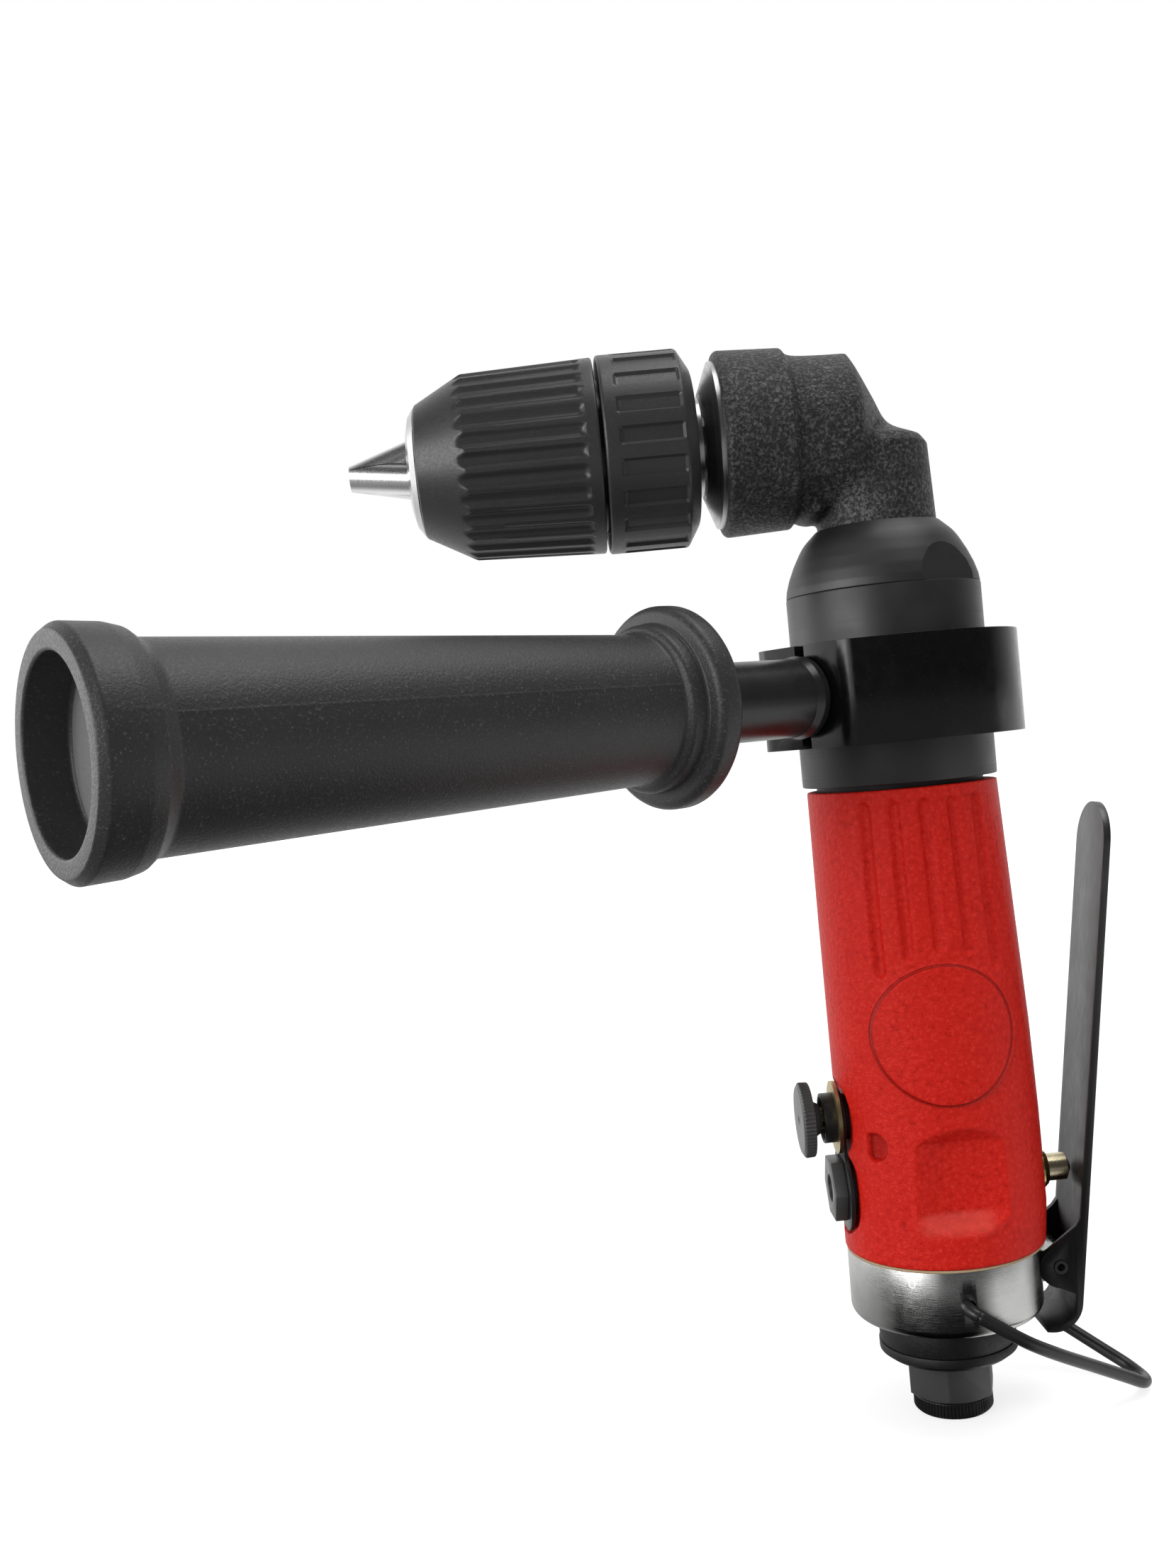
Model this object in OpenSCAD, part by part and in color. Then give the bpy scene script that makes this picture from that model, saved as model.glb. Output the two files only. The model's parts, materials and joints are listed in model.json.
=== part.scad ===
// Reversible right angle air drill with a keyless chuck, a swivelling side handle,
// a throttle lever, a push button reverse valve and a hanging bail.
// Origin: centre of the air inlet mouth. Z runs up the motor axis.
// The chuck points to -X and the throttle lever stands on the +X side.

/* [Inlet end] */
// Across flats of the inlet hex
inlet_hex_af = 17.5; // [16.5:0.5:22]
// Height of the inlet hex
inlet_hex_h = 9.4; // [6:0.1:12]
// Radius of the plain inlet nose below the hex
inlet_nose_r = 7.2; // [6.8:0.1:8]
// Length of the plain inlet nose
inlet_nose_l = 2.5; // [1.5:0.1:4]
// Turn of the inlet hex about the motor axis
inlet_hex_turn = 13; // [0:1:60]
// Radius of the inlet thread bore, a quarter inch pipe thread
inlet_bore_r = 5.6; // [4.5:0.1:6]
// Depth of the inlet thread
inlet_thread_l = 14; // [10:0.5:18]
// Wall of the inlet bushing around its thread
inlet_wall = 2.4; // [1.8:0.1:2.6]
// Length of the bushing screwed into the motor housing
inlet_grip = 8; // [5:0.5:10]
// Step in from the thread to the air passage behind it
passage_step = 0.6; // [0.3:0.05:0.7]
// Thickness of the inlet screen
screen_t = 1.2; // [0.8:0.1:2]
// Radius of the holes in the inlet screen
screen_hole_r = 0.7; // [0.4:0.1:0.9]
// Radius of the dust cap over the inlet nose
dust_cap_r = 8.8; // [8.4:0.1:10]
// Thickness of the dust cap floor
dust_floor_t = 1; // [0.6:0.1:2]

/* [Exhaust] */
// Radius of the turning exhaust deflector
deflector_r = 15.2; // [13:0.1:17]
// Height of the exhaust deflector
deflector_h = 3.1; // [2.5:0.1:6]
// Radius of the fixed exhaust ring
exhaust_ring_r = 15; // [13:0.25:16]
// Height of the fixed exhaust ring
exhaust_ring_h = 6.5; // [4:0.1:9]
// Radius of each exhaust drilling in the rear cap
exhaust_hole_r = 1.5; // [1:0.1:1.8]

/* [Rear cap] */
// Step from the red housing in to the bare rear cap
cap_step = 0.2; // [0:0.1:1]
// Height of the rear cap
cap_h = 14.5; // [14:0.1:20]
// Rounding of the lower edge of the rear cap
cap_round = 2; // [1:0.25:4]
// Thickness of the gasket above the cap
gasket_t = 0.5; // [0.3:0.1:1]
// Height of the hanging bail holes above the cap floor
bail_lift = 7.2; // [6:0.1:9]

/* [Motor housing] */
// Outer radius of the red housing at its lower end
housing_r = 21.8; // [21:0.1:25]
// Height of the solid valve block below the motor bore
valve_block_h = 38.1; // [36:0.1:46]
// Radius of the motor bore
motor_r = 16.5; // [15:0.1:17]
// Wall of the gear housing spigot
spigot_wall = 1.7; // [1.2:0.1:2]
// Length of the gear housing spigot inside the red housing
spigot_l = 6; // [4:0.25:9]
// Wall of the red housing around the spigot
housing_rim = 2.25; // [1.5:0.05:3]
// Radius of the raised round pad
pad_r = 14.9; // [10:0.1:17]
// Height of the round pad above the housing
pad_t = 0.4; // [0.2:0.05:0.8]
// Height of the pad centre above the foot of the red housing
pad_lift = 49.6; // [44:0.1:56]
// Gap between the round pad and the grooves above it
groove_gap = 3.8; // [2:0.1:8]
// Angle between neighbouring grip grooves
groove_step = 17.5; // [12:0.5:24]
// Depth of the grip grooves
groove_depth = 0.7; // [0.3:0.05:1]
// Tool radius of the grip grooves
groove_r = 1.75; // [1.2:0.05:2.5]
// Depth of the flat thumb scoop
scoop_depth = 2.4; // [1:0.1:3]
// Height of the flat floor of the thumb scoop
scoop_h = 15.5; // [8:0.5:20]
// Drop of the thumb scoop below the reverse axis
scoop_drop = 10.9; // [8:0.1:14]
// Height of the sloped ends of the thumb scoop
scoop_slope = 4; // [2:0.25:6]

/* [Motor] */
// Height of the rear end plate
rear_plate_h = 8; // [7:0.25:12]
// Height of the motor cylinder
cylinder_h = 42; // [30:0.5:55]
// Height of the front end plate
front_plate_h = 8; // [7:0.25:12]
// Thinnest wall of the motor cylinder
cylinder_wall = 2; // [1.5:0.1:3]
// Offset of the cylinder bore from the motor axis
eccentric = 1.2; // [0.6:0.1:1.6]
// Radius of the rotor shaft
rotor_shaft_r = 4.5; // [4.2:0.1:5.5]
// Thickness of the rotor vanes
vane_t = 1.8; // [1.2:0.1:2.4]
// Depth of the rotor slots
slot_depth = 5; // [3:0.25:5.5]
// Outer radius of the rotor bearings
rotor_bearing_r = 10; // [8:0.25:12]
// Height of the rotor bearings
rotor_bearing_h = 6; // [4:0.25:6.5]

/* [Gear train] */
// Wall of the ring gear behind its teeth
ring_wall = 1.5; // [1.2:0.1:2.5]
// Height of the ring gear
ring_h = 14; // [13.5:0.25:18]
// Height of the planet gears
planet_h = 9; // [6:0.25:9.5]
// Radius of the planet pins
pin_r = 2; // [1.5:0.05:2.5]
// Thickness of the planet carrier disc
carrier_t = 5; // [3:0.25:6]
// Radius of the carrier hub
carrier_hub_r = 6; // [5.6:0.1:7]
// Outer radius of the carrier bearing
carrier_bearing_r = 11; // [9:0.25:12]
// Height of the carrier bearing
carrier_bearing_h = 8; // [6:0.25:10]
// Across flats of the hex drive between carrier and pinion
drive_af = 8; // [6:0.1:9]
// Length of the hex drive
drive_l = 12; // [8:0.5:16]

/* [Gear housing] */
// Height of the visible gear housing barrel
gear_h = 42; // [38:0.5:55]
// Open seam between red housing and gear housing
seam_gap = 1.1; // [0.4:0.1:2]
// Step from the red housing rim to the gear housing
gear_step = 0.8; // [0.2:0.1:2]
// Length of the upper gear housing thread
neck_thread_l = 7; // [5:0.25:8]
// Wall of the coupling nut at its foot
nut_wall = 2.7; // [2.2:0.1:3.5]
// Height of the domed coupling nut
nut_h = 14.3; // [13:0.1:17]
// Depth of the two wrench flats on the nut
nut_flat = 0.95; // [0.4:0.05:1.2]
// Compass angle of the first wrench flat
nut_flat_angle = -57; // [-90:1:90]

/* [Angle head] */
// Height of the spindle axis above the head seat
head_drop = 28.3; // [27:0.1:34]
// Thickness of the head flange under the nut
head_flange_t = 4; // [3:0.25:5]
// Radius of the front ring of the head
head_front_r = 20.3; // [19:0.1:21]
// Radius of the rear barrel of the head
head_rear_r = 17.9; // [17:0.1:19]
// Distance of the head front face from the motor axis
head_front_x = 33.7; // [32:0.1:38]
// Distance of the step between front ring and barrel
head_step_x = 19; // [18:0.1:20]
// Distance of the rear edge of the barrel
head_back_x = 4.4; // [4:0.1:5]
// Casting draft of the head, taken off the radius of each part
head_draft = 0.6; // [0.2:0.1:1]
// Wall of the head around the bevel gear
head_wall = 3.6; // [2.5:0.1:4]
// Wall of the head neck
neck_wall = 2.8; // [2.4:0.1:4]
// Face width of the bevel gears
bevel_face = 5; // [3:0.25:5.5]
// Radius of the spindle in its front bearing
spindle_r = 7.5; // [7:0.1:8]
// Width of the spindle bearing
spindle_bearing_w = 9; // [6:0.25:10]
// Reach of the bearing cap in front of the head
cap_reach = 3.5; // [2:0.1:4]
// Radius of the pinion shaft
pinion_shaft_r = 5; // [4.6:0.1:6]

/* [Chuck] */
// Largest radius of the chuck
chuck_r = 21.6; // [21:0.1:24]
// Distance of the chuck rear edge from the motor axis
chuck_back_x = 39.2; // [38.5:0.1:42]
// Length of the rear sleeve
rear_sleeve_l = 20; // [18:0.25:24]
// Open groove between the two sleeves
sleeve_gap = 0.8; // [0.4:0.1:1.5]
// Length of the straight part of the front sleeve
front_sleeve_l = 28.6; // [27:0.1:32]
// Length of the cone of the front sleeve
front_cone_l = 10.7; // [8:0.1:13]
// Radius of the steel chuck nose
nose_r = 14; // [13:0.1:15]
// Reach of the nose past the front sleeve
nose_reach = 2.2; // [1.6:0.1:4]
// Reach of the closed jaws past the nose
jaw_reach = 13.3; // [10:0.1:14]
// Radius of each jaw
jaw_r = 3.3; // [3:0.05:3.8]
// Slope of the jaws to the chuck axis
jaw_tilt = 19; // [18:0.5:21]
// Length of each jaw
jaw_l = 28; // [25:0.5:30]
// Jaw travel from closed to fully open
jaw_travel = 20; // [12:0.5:20]
// Distance from the closed jaw tips back to the point where the jaw axes meet
jaw_cross = 2.3; // [0:0.1:3]
// Number of flutes on the front sleeve
flute_count = 30; // [16:1:36]
// Depth of the flutes
flute_depth = 0.9; // [0.3:0.1:1.1]
// Number of pockets on the rear sleeve
pocket_count = 20; // [12:1:24]
// Depth of the rear sleeve pockets
pocket_depth = 0.5; // [0.2:0.1:1]

/* [Side handle] */
// Compass angle of the handle from the chuck direction
handle_angle = 35.5; // [-170:0.5:170]
// Height of the clamp above the foot of the gear housing
clamp_lift = 8.9; // [4:0.1:12]
// Height of the clamp
clamp_h = 22; // [19:0.25:26]
// Wall of the clamp ring
clamp_wall = 6.7; // [4:0.1:9]
// Width of the flat clamp boss
boss_w = 25.2; // [20:0.1:32]
// Width of the clamp slit
slit_w = 2.7; // [1.5:0.1:4]
// Distance of the handle flange from the motor axis
flange_s = 61.5; // [50:0.5:75]
// Radius of the bare handle rod
rod_r = 8.3; // [6.5:0.1:9.5]
// Radius of the rod thread in the clamp
rod_thread_r = 6; // [4:0.1:6.4]
// Radius of the handle flange
flange_r = 20.1; // [18:0.1:24]
// Thickness of the handle flange
flange_t = 6; // [4:0.25:9]
// Grip radius behind the flange
grip_r1 = 14.6; // [12:0.1:17]
// Grip radius in front of the end collar
grip_r2 = 17.5; // [15:0.1:18]
// Grip length between flange and end collar
grip_l = 99; // [80:1:130]
// Radius of the end collar
collar_r = 20.6; // [18.5:0.1:24]
// Length of the end collar
collar_l = 14.8; // [11:0.1:20]
// Radius of the open recess in the handle end
recess_r = 15.9; // [10:0.1:17]
// Depth of the open recess in the handle end
recess_d = 8; // [4:0.25:10]

/* [Throttle lever] */
// Width of the throttle lever
lever_w = 18; // [14:0.25:20]
// Thickness of the lever sheet
lever_t = 1.6; // [1.2:0.1:2]
// Length of the lever above its pivot
lever_l = 102; // [80:0.5:115]
// Lean of the released lever
lever_lean = 8.3; // [7:0.1:11]
// Distance of the pivot outside the cap
pivot_out = 2.5; // [2:0.1:4]
// Distance of the pivot below the cap top
pivot_drop = 5.4; // [4.5:0.1:7]
// Distance of the lever sheet from the pivot
lever_offset = 3.8; // [3.7:0.05:5]
// Radius of the hollow pivot pin
pivot_pin_r = 1.5; // [1.2:0.05:1.8]

/* [Valves] */
// Height of the throttle axis above the foot of the red housing
throttle_lift = 13.7; // [13:0.1:15]
// Radius of the throttle stem
stem_r = 3; // [2:0.1:3.2]
// Radius of the brass throttle bushing
bushing_r = 4.7; // [4.3:0.1:5]
// Wire radius of the valve spring
valve_wire_r = 0.5; // [0.3:0.05:0.6]
// Distance between throttle axis and reverse axis
valve_pitch = 15.8; // [15.2:0.1:17]
// Depth of the flat valve face in the housing
valve_face_d = 2.3; // [1.8:0.1:2.8]
// Across flats of the hex throttle plug
throttle_plug_af = 13; // [11:0.5:15]
// Radius of the reverse knob
knob_r = 8.35; // [6:0.05:9]
// Thickness of the reverse knob
knob_t = 2.7; // [1.5:0.1:4]
// Push travel of the reverse knob
knob_travel = 2; // [1:0.1:2]
// Radius of the reverse spool
spool_r = 4; // [3:0.1:4.2]

/* [Hanging bail] */
// Wire radius of the bail
bail_wire_r = 1.4; // [1:0.05:1.8]
// Length of the bail from pivot to tip
bail_l = 51.5; // [46:0.25:60]
// Reach of the bail past the side of the cap
bail_out = 3.8; // [3.4:0.1:7]
// Angle of the bail below level
bail_angle = 33; // [10:1:60]

/* [Hidden] */
$fn = 64;
// Radial gap of running and sliding fits
fit = 0.05;
// Side gap of parts that swing past each other
swing_gap = 0.2;
// Overcut of every boolean cut
cut = 1;

// Stack up the motor axis
cap_r = housing_r - cap_step;
valve_flat_x = housing_r - valve_face_d;
inlet_shank_r = inlet_bore_r + inlet_wall;
hex_chamfer = 0.3;
screen_z = inlet_thread_l;
passage_r = inlet_bore_r - passage_step;
screen_r = (inlet_bore_r + passage_r) / 2;
deflector_z = inlet_nose_l + inlet_hex_h;
exhaust_z = deflector_z + deflector_h;
cap_z0 = exhaust_z + exhaust_ring_h;
cap_z1 = cap_z0 + cap_h;
housing_z0 = cap_z1 + gasket_t;
inlet_top = housing_z0 + inlet_grip;
motor_z0 = housing_z0 + valve_block_h;
cylinder_z0 = motor_z0 + rear_plate_h;
cylinder_z1 = cylinder_z0 + cylinder_h;
ring_z0 = cylinder_z1 + front_plate_h;
housing_z1 = ring_z0 + spigot_l;
housing_h = housing_z1 - housing_z0;
gear_z0 = housing_z1 + seam_gap;
gear_z1 = gear_z0 + gear_h;
seat_z = gear_z1 + neck_thread_l;
nut_z1 = gear_z1 + nut_h;
spindle_z = seat_z + head_drop;
spigot_r = motor_r + spigot_wall;
housing_top_r = spigot_r + housing_rim;
gear_r = housing_top_r + gear_step;
bail_z = cap_z0 + bail_lift;
throttle_z = housing_z0 + throttle_lift;
reverse_z = throttle_z + valve_pitch;
pivot_x = cap_r + pivot_out;
pivot_z = cap_z1 - pivot_drop;
pad_z = housing_z0 + pad_lift;

// Motor
cylinder_r = motor_r - fit;
bore_r = cylinder_r - cylinder_wall - eccentric;
rotor_gap = 0.35;
rotor_r = bore_r - eccentric - rotor_gap;
vane_count = 5;
end_gap = 0.3;
plate_hole_r = rotor_shaft_r + 0.5;

// Planet gears, tooth counts fixed by the assembly rule
sun_teeth = 12;
planet_teeth = 18;
ring_teeth = sun_teeth + 2 * planet_teeth;
addendum = 0.8;
dedendum = 1.05;
pressure = 25;
flank_gap = 0.05;
gear_module = (motor_r - ring_wall) / (ring_teeth / 2 + dedendum);
sun_pitch_r = gear_module * sun_teeth / 2;
planet_pitch_r = gear_module * planet_teeth / 2;
ring_pitch_r = gear_module * ring_teeth / 2;
planet_orbit = sun_pitch_r + planet_pitch_r;
planet_z0 = ring_z0 + 2.5;
planet_z1 = planet_z0 + planet_h;
sun_z0 = ring_z0 + 1.5;
sun_z1 = planet_z1 + 0.4;
carrier_z0 = sun_z1 + 0.8;
carrier_z1 = carrier_z0 + carrier_t;
carrier_r = planet_orbit + pin_r + 2;
carrier_room_z = max(ring_z0 + ring_h, carrier_z1) + 1.5;
carrier_bearing_z = carrier_room_z;
drive_z0 = carrier_bearing_z + carrier_bearing_h;
drive_z1 = drive_z0 + drive_l;

// Bevel gears, apex where motor axis and spindle axis cross
pinion_teeth = 12;
bevel_teeth = 18;
pinion_cone = atan(pinion_teeth / bevel_teeth);
bevel_cone = 90 - pinion_cone;
chamber_r = head_rear_r - head_wall;
chamber_gap = 0.8;
bevel_module = (chamber_r - chamber_gap) / (bevel_teeth / 2 + addendum * cos(bevel_cone));
pinion_pitch_r = bevel_module * pinion_teeth / 2;
bevel_pitch_r = bevel_module * bevel_teeth / 2;
bevel_gap = 0.07;
pinion_tip_r = pinion_pitch_r + addendum * bevel_module * cos(pinion_cone);
neck_bore_r = pinion_tip_r + 0.7;
neck_r = neck_bore_r + neck_wall;
pinion_z = spindle_z - bevel_pitch_r;
pinion_bearing_z = seat_z + 1.5;
pinion_bearing_h = 7.5;
head_bore_r = chamber_r + 1.7;
chamber_x0 = head_back_x - 0.2;
chamber_x1 = head_step_x - 2.5;
neck_roof = 7.2;
tail_r = 4;
tail_bushing_r = 6.4;
tail_end_x = 0.5;
gear_seat_r = spindle_r - 1.5;
gear_seat_x = pinion_pitch_r * 0.62;
gear_back_x = chamber_x1 - 1.5;
bearing_x1 = chamber_x1 + spindle_bearing_w;
cap_front_x = head_front_x + cap_reach;
cap_face_r = head_front_r - 2.1;
nut_top_r = neck_r + 0.3;
flange_head_r = gear_r - nut_wall - 2.4;
nut_bore_r = gear_r - nut_wall;
dome_in = gear_r - nut_top_r;
dome_r = (nut_h * nut_h + dome_in * dome_in) / (2 * dome_in);

// Chuck, distances along the spindle towards the jaws
boss_r = 10.8;
boss_x = cap_front_x + 0.4;
chuck_core_r = chuck_r - 5.1;
rear_front_x = chuck_back_x + rear_sleeve_l;
sleeve_x0 = rear_front_x + sleeve_gap;
sleeve_x1 = sleeve_x0 + front_sleeve_l;
sleeve_x2 = sleeve_x1 + front_cone_l;
nose_x = sleeve_x2 + nose_reach;
jaw_tip_x = nose_x + jaw_reach;
sleeve_wall = 2;
sleeve_room_r = chuck_r - sleeve_wall - 0.3;
sleeve_front_r = chuck_r - 1.4;
nose_room_x = sleeve_x2 - 6.5;
nut_room = 8;
nut_gap = 0.5;
nut_back = 2.2;
groove_x0 = sleeve_x1 - nut_room;
nut_x0 = groove_x0 + nut_gap;
nut_x1 = sleeve_x1 - nut_back;
groove_body_r = 12;
chuck_bore_r = 6.8;
spindle_thread_r = 6.35;
thread_end_x = boss_x + 16.5;
screw_seat_x = thread_end_x + 2.5;
chuck_screw_r = 2.5;
jaw_gap = 0.08;
jaw_split = 0.12;
jaw_cut = sleeve_room_r - 0.4 - jaw_travel * sin(jaw_tilt);

// Side handle, distances along the handle axis
clamp_z0 = gear_z0 + clamp_lift;
handle_z = clamp_z0 + clamp_h / 2;
clamp_r = gear_r + clamp_wall;
boss_s = clamp_r - 0.8;
rod_tip_s = gear_r + 0.5;
stud_r = 5;
stud_stop = 20;
bead_r = grip_r1 + 1.9;
bead_t = 4;
grip_s0 = flange_s + flange_t + bead_t;
grip_s1 = grip_s0 + grip_l;
handle_end = grip_s1 + collar_l;
collar_step = 3.4;
edge_round = 1.6;

// Throttle lever and valves
ear_r = 4.6;
ear_up = 9;
ear_down = 6;
strip_down = 8;
heel_r = 6.5;
heel_lip = 1;
lug_w = lever_w - 2 * lever_t - 2 * swing_gap;
stem_arm = throttle_z - pivot_z;
lever_face_x = pivot_x + (lever_offset + stem_arm * sin(lever_lean)) / cos(lever_lean);
stem_tip_x = lever_face_x - 0.5;
bushing_out_x = housing_r + 3.2;
bushing_in_x = 10;
valve_bore_r = bushing_r + 0.5;
valve_head_r = bushing_r - 0.5;
valve_head_x = bushing_in_x - 0.5;
valve_head_t = 3;
plug_in_x = 13.3;
plug_shank_r = valve_bore_r + 0.8;
plate_t = 1;
washer_t = 0.8;
washer_r = 8;
plate_end_r = 9.5;
plate_top_r = 6.2;
plate_web = 9;
washer_x = valve_flat_x + plate_t;
collar_x = washer_x + washer_t;
collar_out_x = collar_x + 2.7;
reverse_shank_r = 5;
reverse_collar_r = 5.5;
reverse_stem_r = spool_r - 1.5;
spool_x0 = -7.5;
spool_x1 = 12.5;
spool_room = 0.5;
knob_x = collar_out_x + knob_travel + 0.3;
plug_face_x = washer_x + 2.9;
pocket_angle = 220;

// Hanging bail
bail_room = 0.6;
bail_seat = 4.5;
bail_steps = 3;
bail_sides = 16;

// Involute helpers, angles in degrees
function inv(a) = tan(a) * 180 / PI - a;
function base_r(pitch_r) = pitch_r * cos(pressure);
function flank_angle(teeth, pitch_r, r, gap) =
    90 / teeth - gap / pitch_r * 180 / PI + inv(pressure)
    - inv(acos(min(1, base_r(pitch_r) / max(r, base_r(pitch_r)))));
function lerp(a, b, t) = a + (b - a) * t;
flank_steps = 4;

// Tooth outline as a list of points, low and high radius with a flank gap
function tooth_points(teeth, pitch_r, r_low, r_high, gap) =
    [for (i = [0 : teeth - 1], side = [-1, 1], k = [0 : flank_steps])
        let (t = side < 0 ? k / flank_steps : 1 - k / flank_steps,
             r = lerp(r_low, r_high, t),
             a = 360 / teeth * i + side * flank_angle(teeth, pitch_r, r, gap))
        [r * cos(a), r * sin(a)]];

// Frames along the main axes
module along_x() { rotate([0, 90, 0]) children(); }
module toward_chuck(z) { translate([0, 0, z]) rotate([0, -90, 0]) children(); }
module spindle_frame() { toward_chuck(spindle_z) children(); }
module handle_frame() {
    translate([0, 0, handle_z]) rotate([0, 0, handle_angle]) rotate([0, -90, 0]) children();
}
module throttle_frame() { translate([0, 0, throttle_z]) along_x() children(); }
module pivot_frame() { translate([pivot_x, 0, pivot_z]) children(); }

// Round bar between two heights
module bar(z0, z1, r) { translate([0, 0, z0]) cylinder(r = r, h = z1 - z0); }
module ring(z0, z1, r_out, r_in) {
    difference() {
        bar(z0, z1, r_out);
        bar(z0 - cut, z1 + cut, r_in);
    }
}
module taper(z0, z1, r0, r1) { translate([0, 0, z0]) cylinder(r1 = r0, r2 = r1, h = z1 - z0); }
module hex_bar(z0, z1, af) {
    translate([0, 0, z0]) linear_extrude(z1 - z0) circle(r = af / sqrt(3), $fn = 6);
}
module both_sides() {
    children();
    mirror([0, 1, 0]) children();
}

// Spur gear blank with teeth from a list of points
module spur(z0, z1, teeth, pitch_r, module_size, gap) {
    translate([0, 0, z0]) linear_extrude(z1 - z0)
        polygon(tooth_points(teeth, pitch_r, pitch_r - dedendum * module_size,
            pitch_r + addendum * module_size, gap));
}

// Straight bevel gear, apex at the origin, opening towards +Z
module bevel_teeth_body(teeth, pitch_r, cone) {
    virtual_r = pitch_r / cos(cone);
    back_z = pitch_r / tan(cone);
    shrink = 1 - bevel_face * sin(cone) / pitch_r;
    low = virtual_r - dedendum * bevel_module;
    high = virtual_r + addendum * bevel_module;
    flat_points = [for (i = [0 : teeth - 1], side = [-1, 1], k = [0 : flank_steps])
        let (t = side < 0 ? k / flank_steps : 1 - k / flank_steps,
             r = lerp(low, high, t),
             half = flank_angle(teeth / cos(cone), virtual_r, r, bevel_gap) / cos(cone),
             a = 360 / teeth * i + side * half)
        [r * cos(cone) * cos(a), r * cos(cone) * sin(a), back_z + (virtual_r - r) * sin(cone)]];
    count = len(flat_points);
    points = concat(flat_points, [for (p = flat_points) p * shrink],
        [[0, 0, back_z + (virtual_r - low) * sin(cone)],
         [0, 0, (back_z + (virtual_r - low) * sin(cone)) * shrink]]);
    faces = concat(
        [for (i = [0 : count - 1]) [i, (i + 1) % count, count + i]],
        [for (i = [0 : count - 1]) [(i + 1) % count, count + (i + 1) % count, count + i]],
        [for (i = [0 : count - 1]) [(i + 1) % count, i, 2 * count]],
        [for (i = [0 : count - 1]) [count + i, count + (i + 1) % count, 2 * count + 1]]);
    polyhedron(points = points, faces = faces, convexity = 8);
}

// Tube swept along flat path points with a fixed side direction
module wire_path(path, wire_r, side_up, sides) {
    count = len(path);
    rings = [for (i = [0 : count - 1])
        let (a = path[max(0, i - 1)], b = path[min(count - 1, i + 1)],
             d = (b - a) / norm(b - a), n = cross(side_up, d))
        for (k = [0 : sides - 1])
            path[i] + wire_r * (cos(360 * k / sides) * n + sin(360 * k / sides) * side_up)];
    walls = [for (i = [0 : count - 2], k = [0 : sides - 1])
        let (a = i * sides + k, b = i * sides + (k + 1) % sides)
        [[a, a + sides, b], [b, a + sides, b + sides]]];
    faces = concat([for (w = walls, f = w) f],
        [[for (k = [0 : sides - 1]) k]],
        [[for (k = [sides - 1 : -1 : 0]) (count - 1) * sides + k]]);
    polyhedron(points = rings, faces = faces, convexity = 6);
}

// Red motor housing with the valve block at its foot
module housing_cone(extra) {
    translate([0, 0, housing_z0])
        cylinder(r1 = housing_r + extra, r2 = housing_top_r + extra, h = housing_h);
}
module housing_pad() {
    intersection() {
        translate([0, 0, pad_z]) rotate([90, 0, 0]) cylinder(r = pad_r, h = housing_r + 2);
        housing_cone(pad_t);
    }
}
module grip_groove(i) {
    lean = atan((housing_r - housing_top_r) / housing_h);
    angle = -90 + i * groove_step;
    reach = pad_r + groove_gap;
    side = housing_r * sin(i * groove_step);
    foot = pad_z + sqrt(reach * reach - side * side);
    top = housing_z1 - 3.6;
    top_r = housing_top_r + groove_r - groove_depth;
    length = (top - foot) / cos(lean);
    rotate([0, 0, angle]) translate([top_r, 0, top]) rotate([0, 180 - lean, 0]) {
        cylinder(r = groove_r, h = length);
        sphere(r = groove_r);
        translate([0, 0, length]) sphere(r = groove_r);
    }
}
module thumb_scoop() {
    mid = reverse_z - scoop_drop;
    floor_y = housing_r - scoop_depth;
    out_y = housing_r + 2;
    run = scoop_slope * (out_y - floor_y) / scoop_depth;
    translate([-housing_r, 0, mid]) rotate([90, 0, 90]) linear_extrude(2 * housing_r)
        polygon([[-floor_y, -scoop_h / 2], [-floor_y, scoop_h / 2],
            [-out_y, scoop_h / 2 + run], [-out_y, -scoop_h / 2 - run]]);
}
module letter_pocket() {
    translate([0, 0, reverse_z - 3.9]) rotate([0, 0, pocket_angle]) translate([housing_r - 1.4, 0, 0])
        intersection() {
            rotate([0, 90, 0]) cylinder(r = 3, h = 4);
            translate([0, -1.6, -4]) cube([4, 6, 8]);
        }
}
module valve_flat() {
    toward_chuck(reverse_z) bar(valve_flat_x, housing_r + 2, washer_r + 0.6);
    toward_chuck(throttle_z) bar(valve_flat_x, housing_r + 2, plate_end_r + 0.6);
    translate([-housing_r - 2, -plate_web / 2 - 0.6, throttle_z])
        cube([housing_r + 2 - valve_flat_x, plate_web + 1.2, valve_pitch]);
}
module motor_housing() {
    color([0.72, 0.09, 0.08])
    difference() {
        union() {
            housing_cone(0);
            both_sides() housing_pad();
        }
        bar(motor_z0, housing_z1 + cut, motor_r + fit);
        bar(ring_z0, housing_z1 + cut, spigot_r + fit);
        bar(housing_z0 - cut, inlet_top + fit, inlet_shank_r + fit);
        bar(inlet_top - cut, throttle_z, passage_r);
        bar(throttle_z, motor_z0 + cut, passage_r / 2);
        throttle_frame() bar(-plug_in_x, bushing_in_x, valve_bore_r);
        throttle_frame() bar(bushing_in_x - cut, housing_r + 2, bushing_r + fit);
        toward_chuck(throttle_z) bar(plug_in_x, housing_r + 2, plug_shank_r + fit);
        toward_chuck(reverse_z) bar(spool_x0 - knob_travel - spool_room, spool_x1 + cut, spool_r + fit);
        toward_chuck(reverse_z) bar(spool_x1 + spool_room, housing_r + 2, reverse_shank_r + fit);
        valve_flat();
        letter_pocket();
        both_sides() thumb_scoop();
        both_sides() for (i = [-2 : 2]) grip_groove(i);
    }
}

// Paper gasket between red housing and bare cap
module end_gasket() {
    color([0.62, 0.47, 0.3]) ring(cap_z1, housing_z0, cap_r - 0.1, inlet_shank_r + fit);
}

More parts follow.
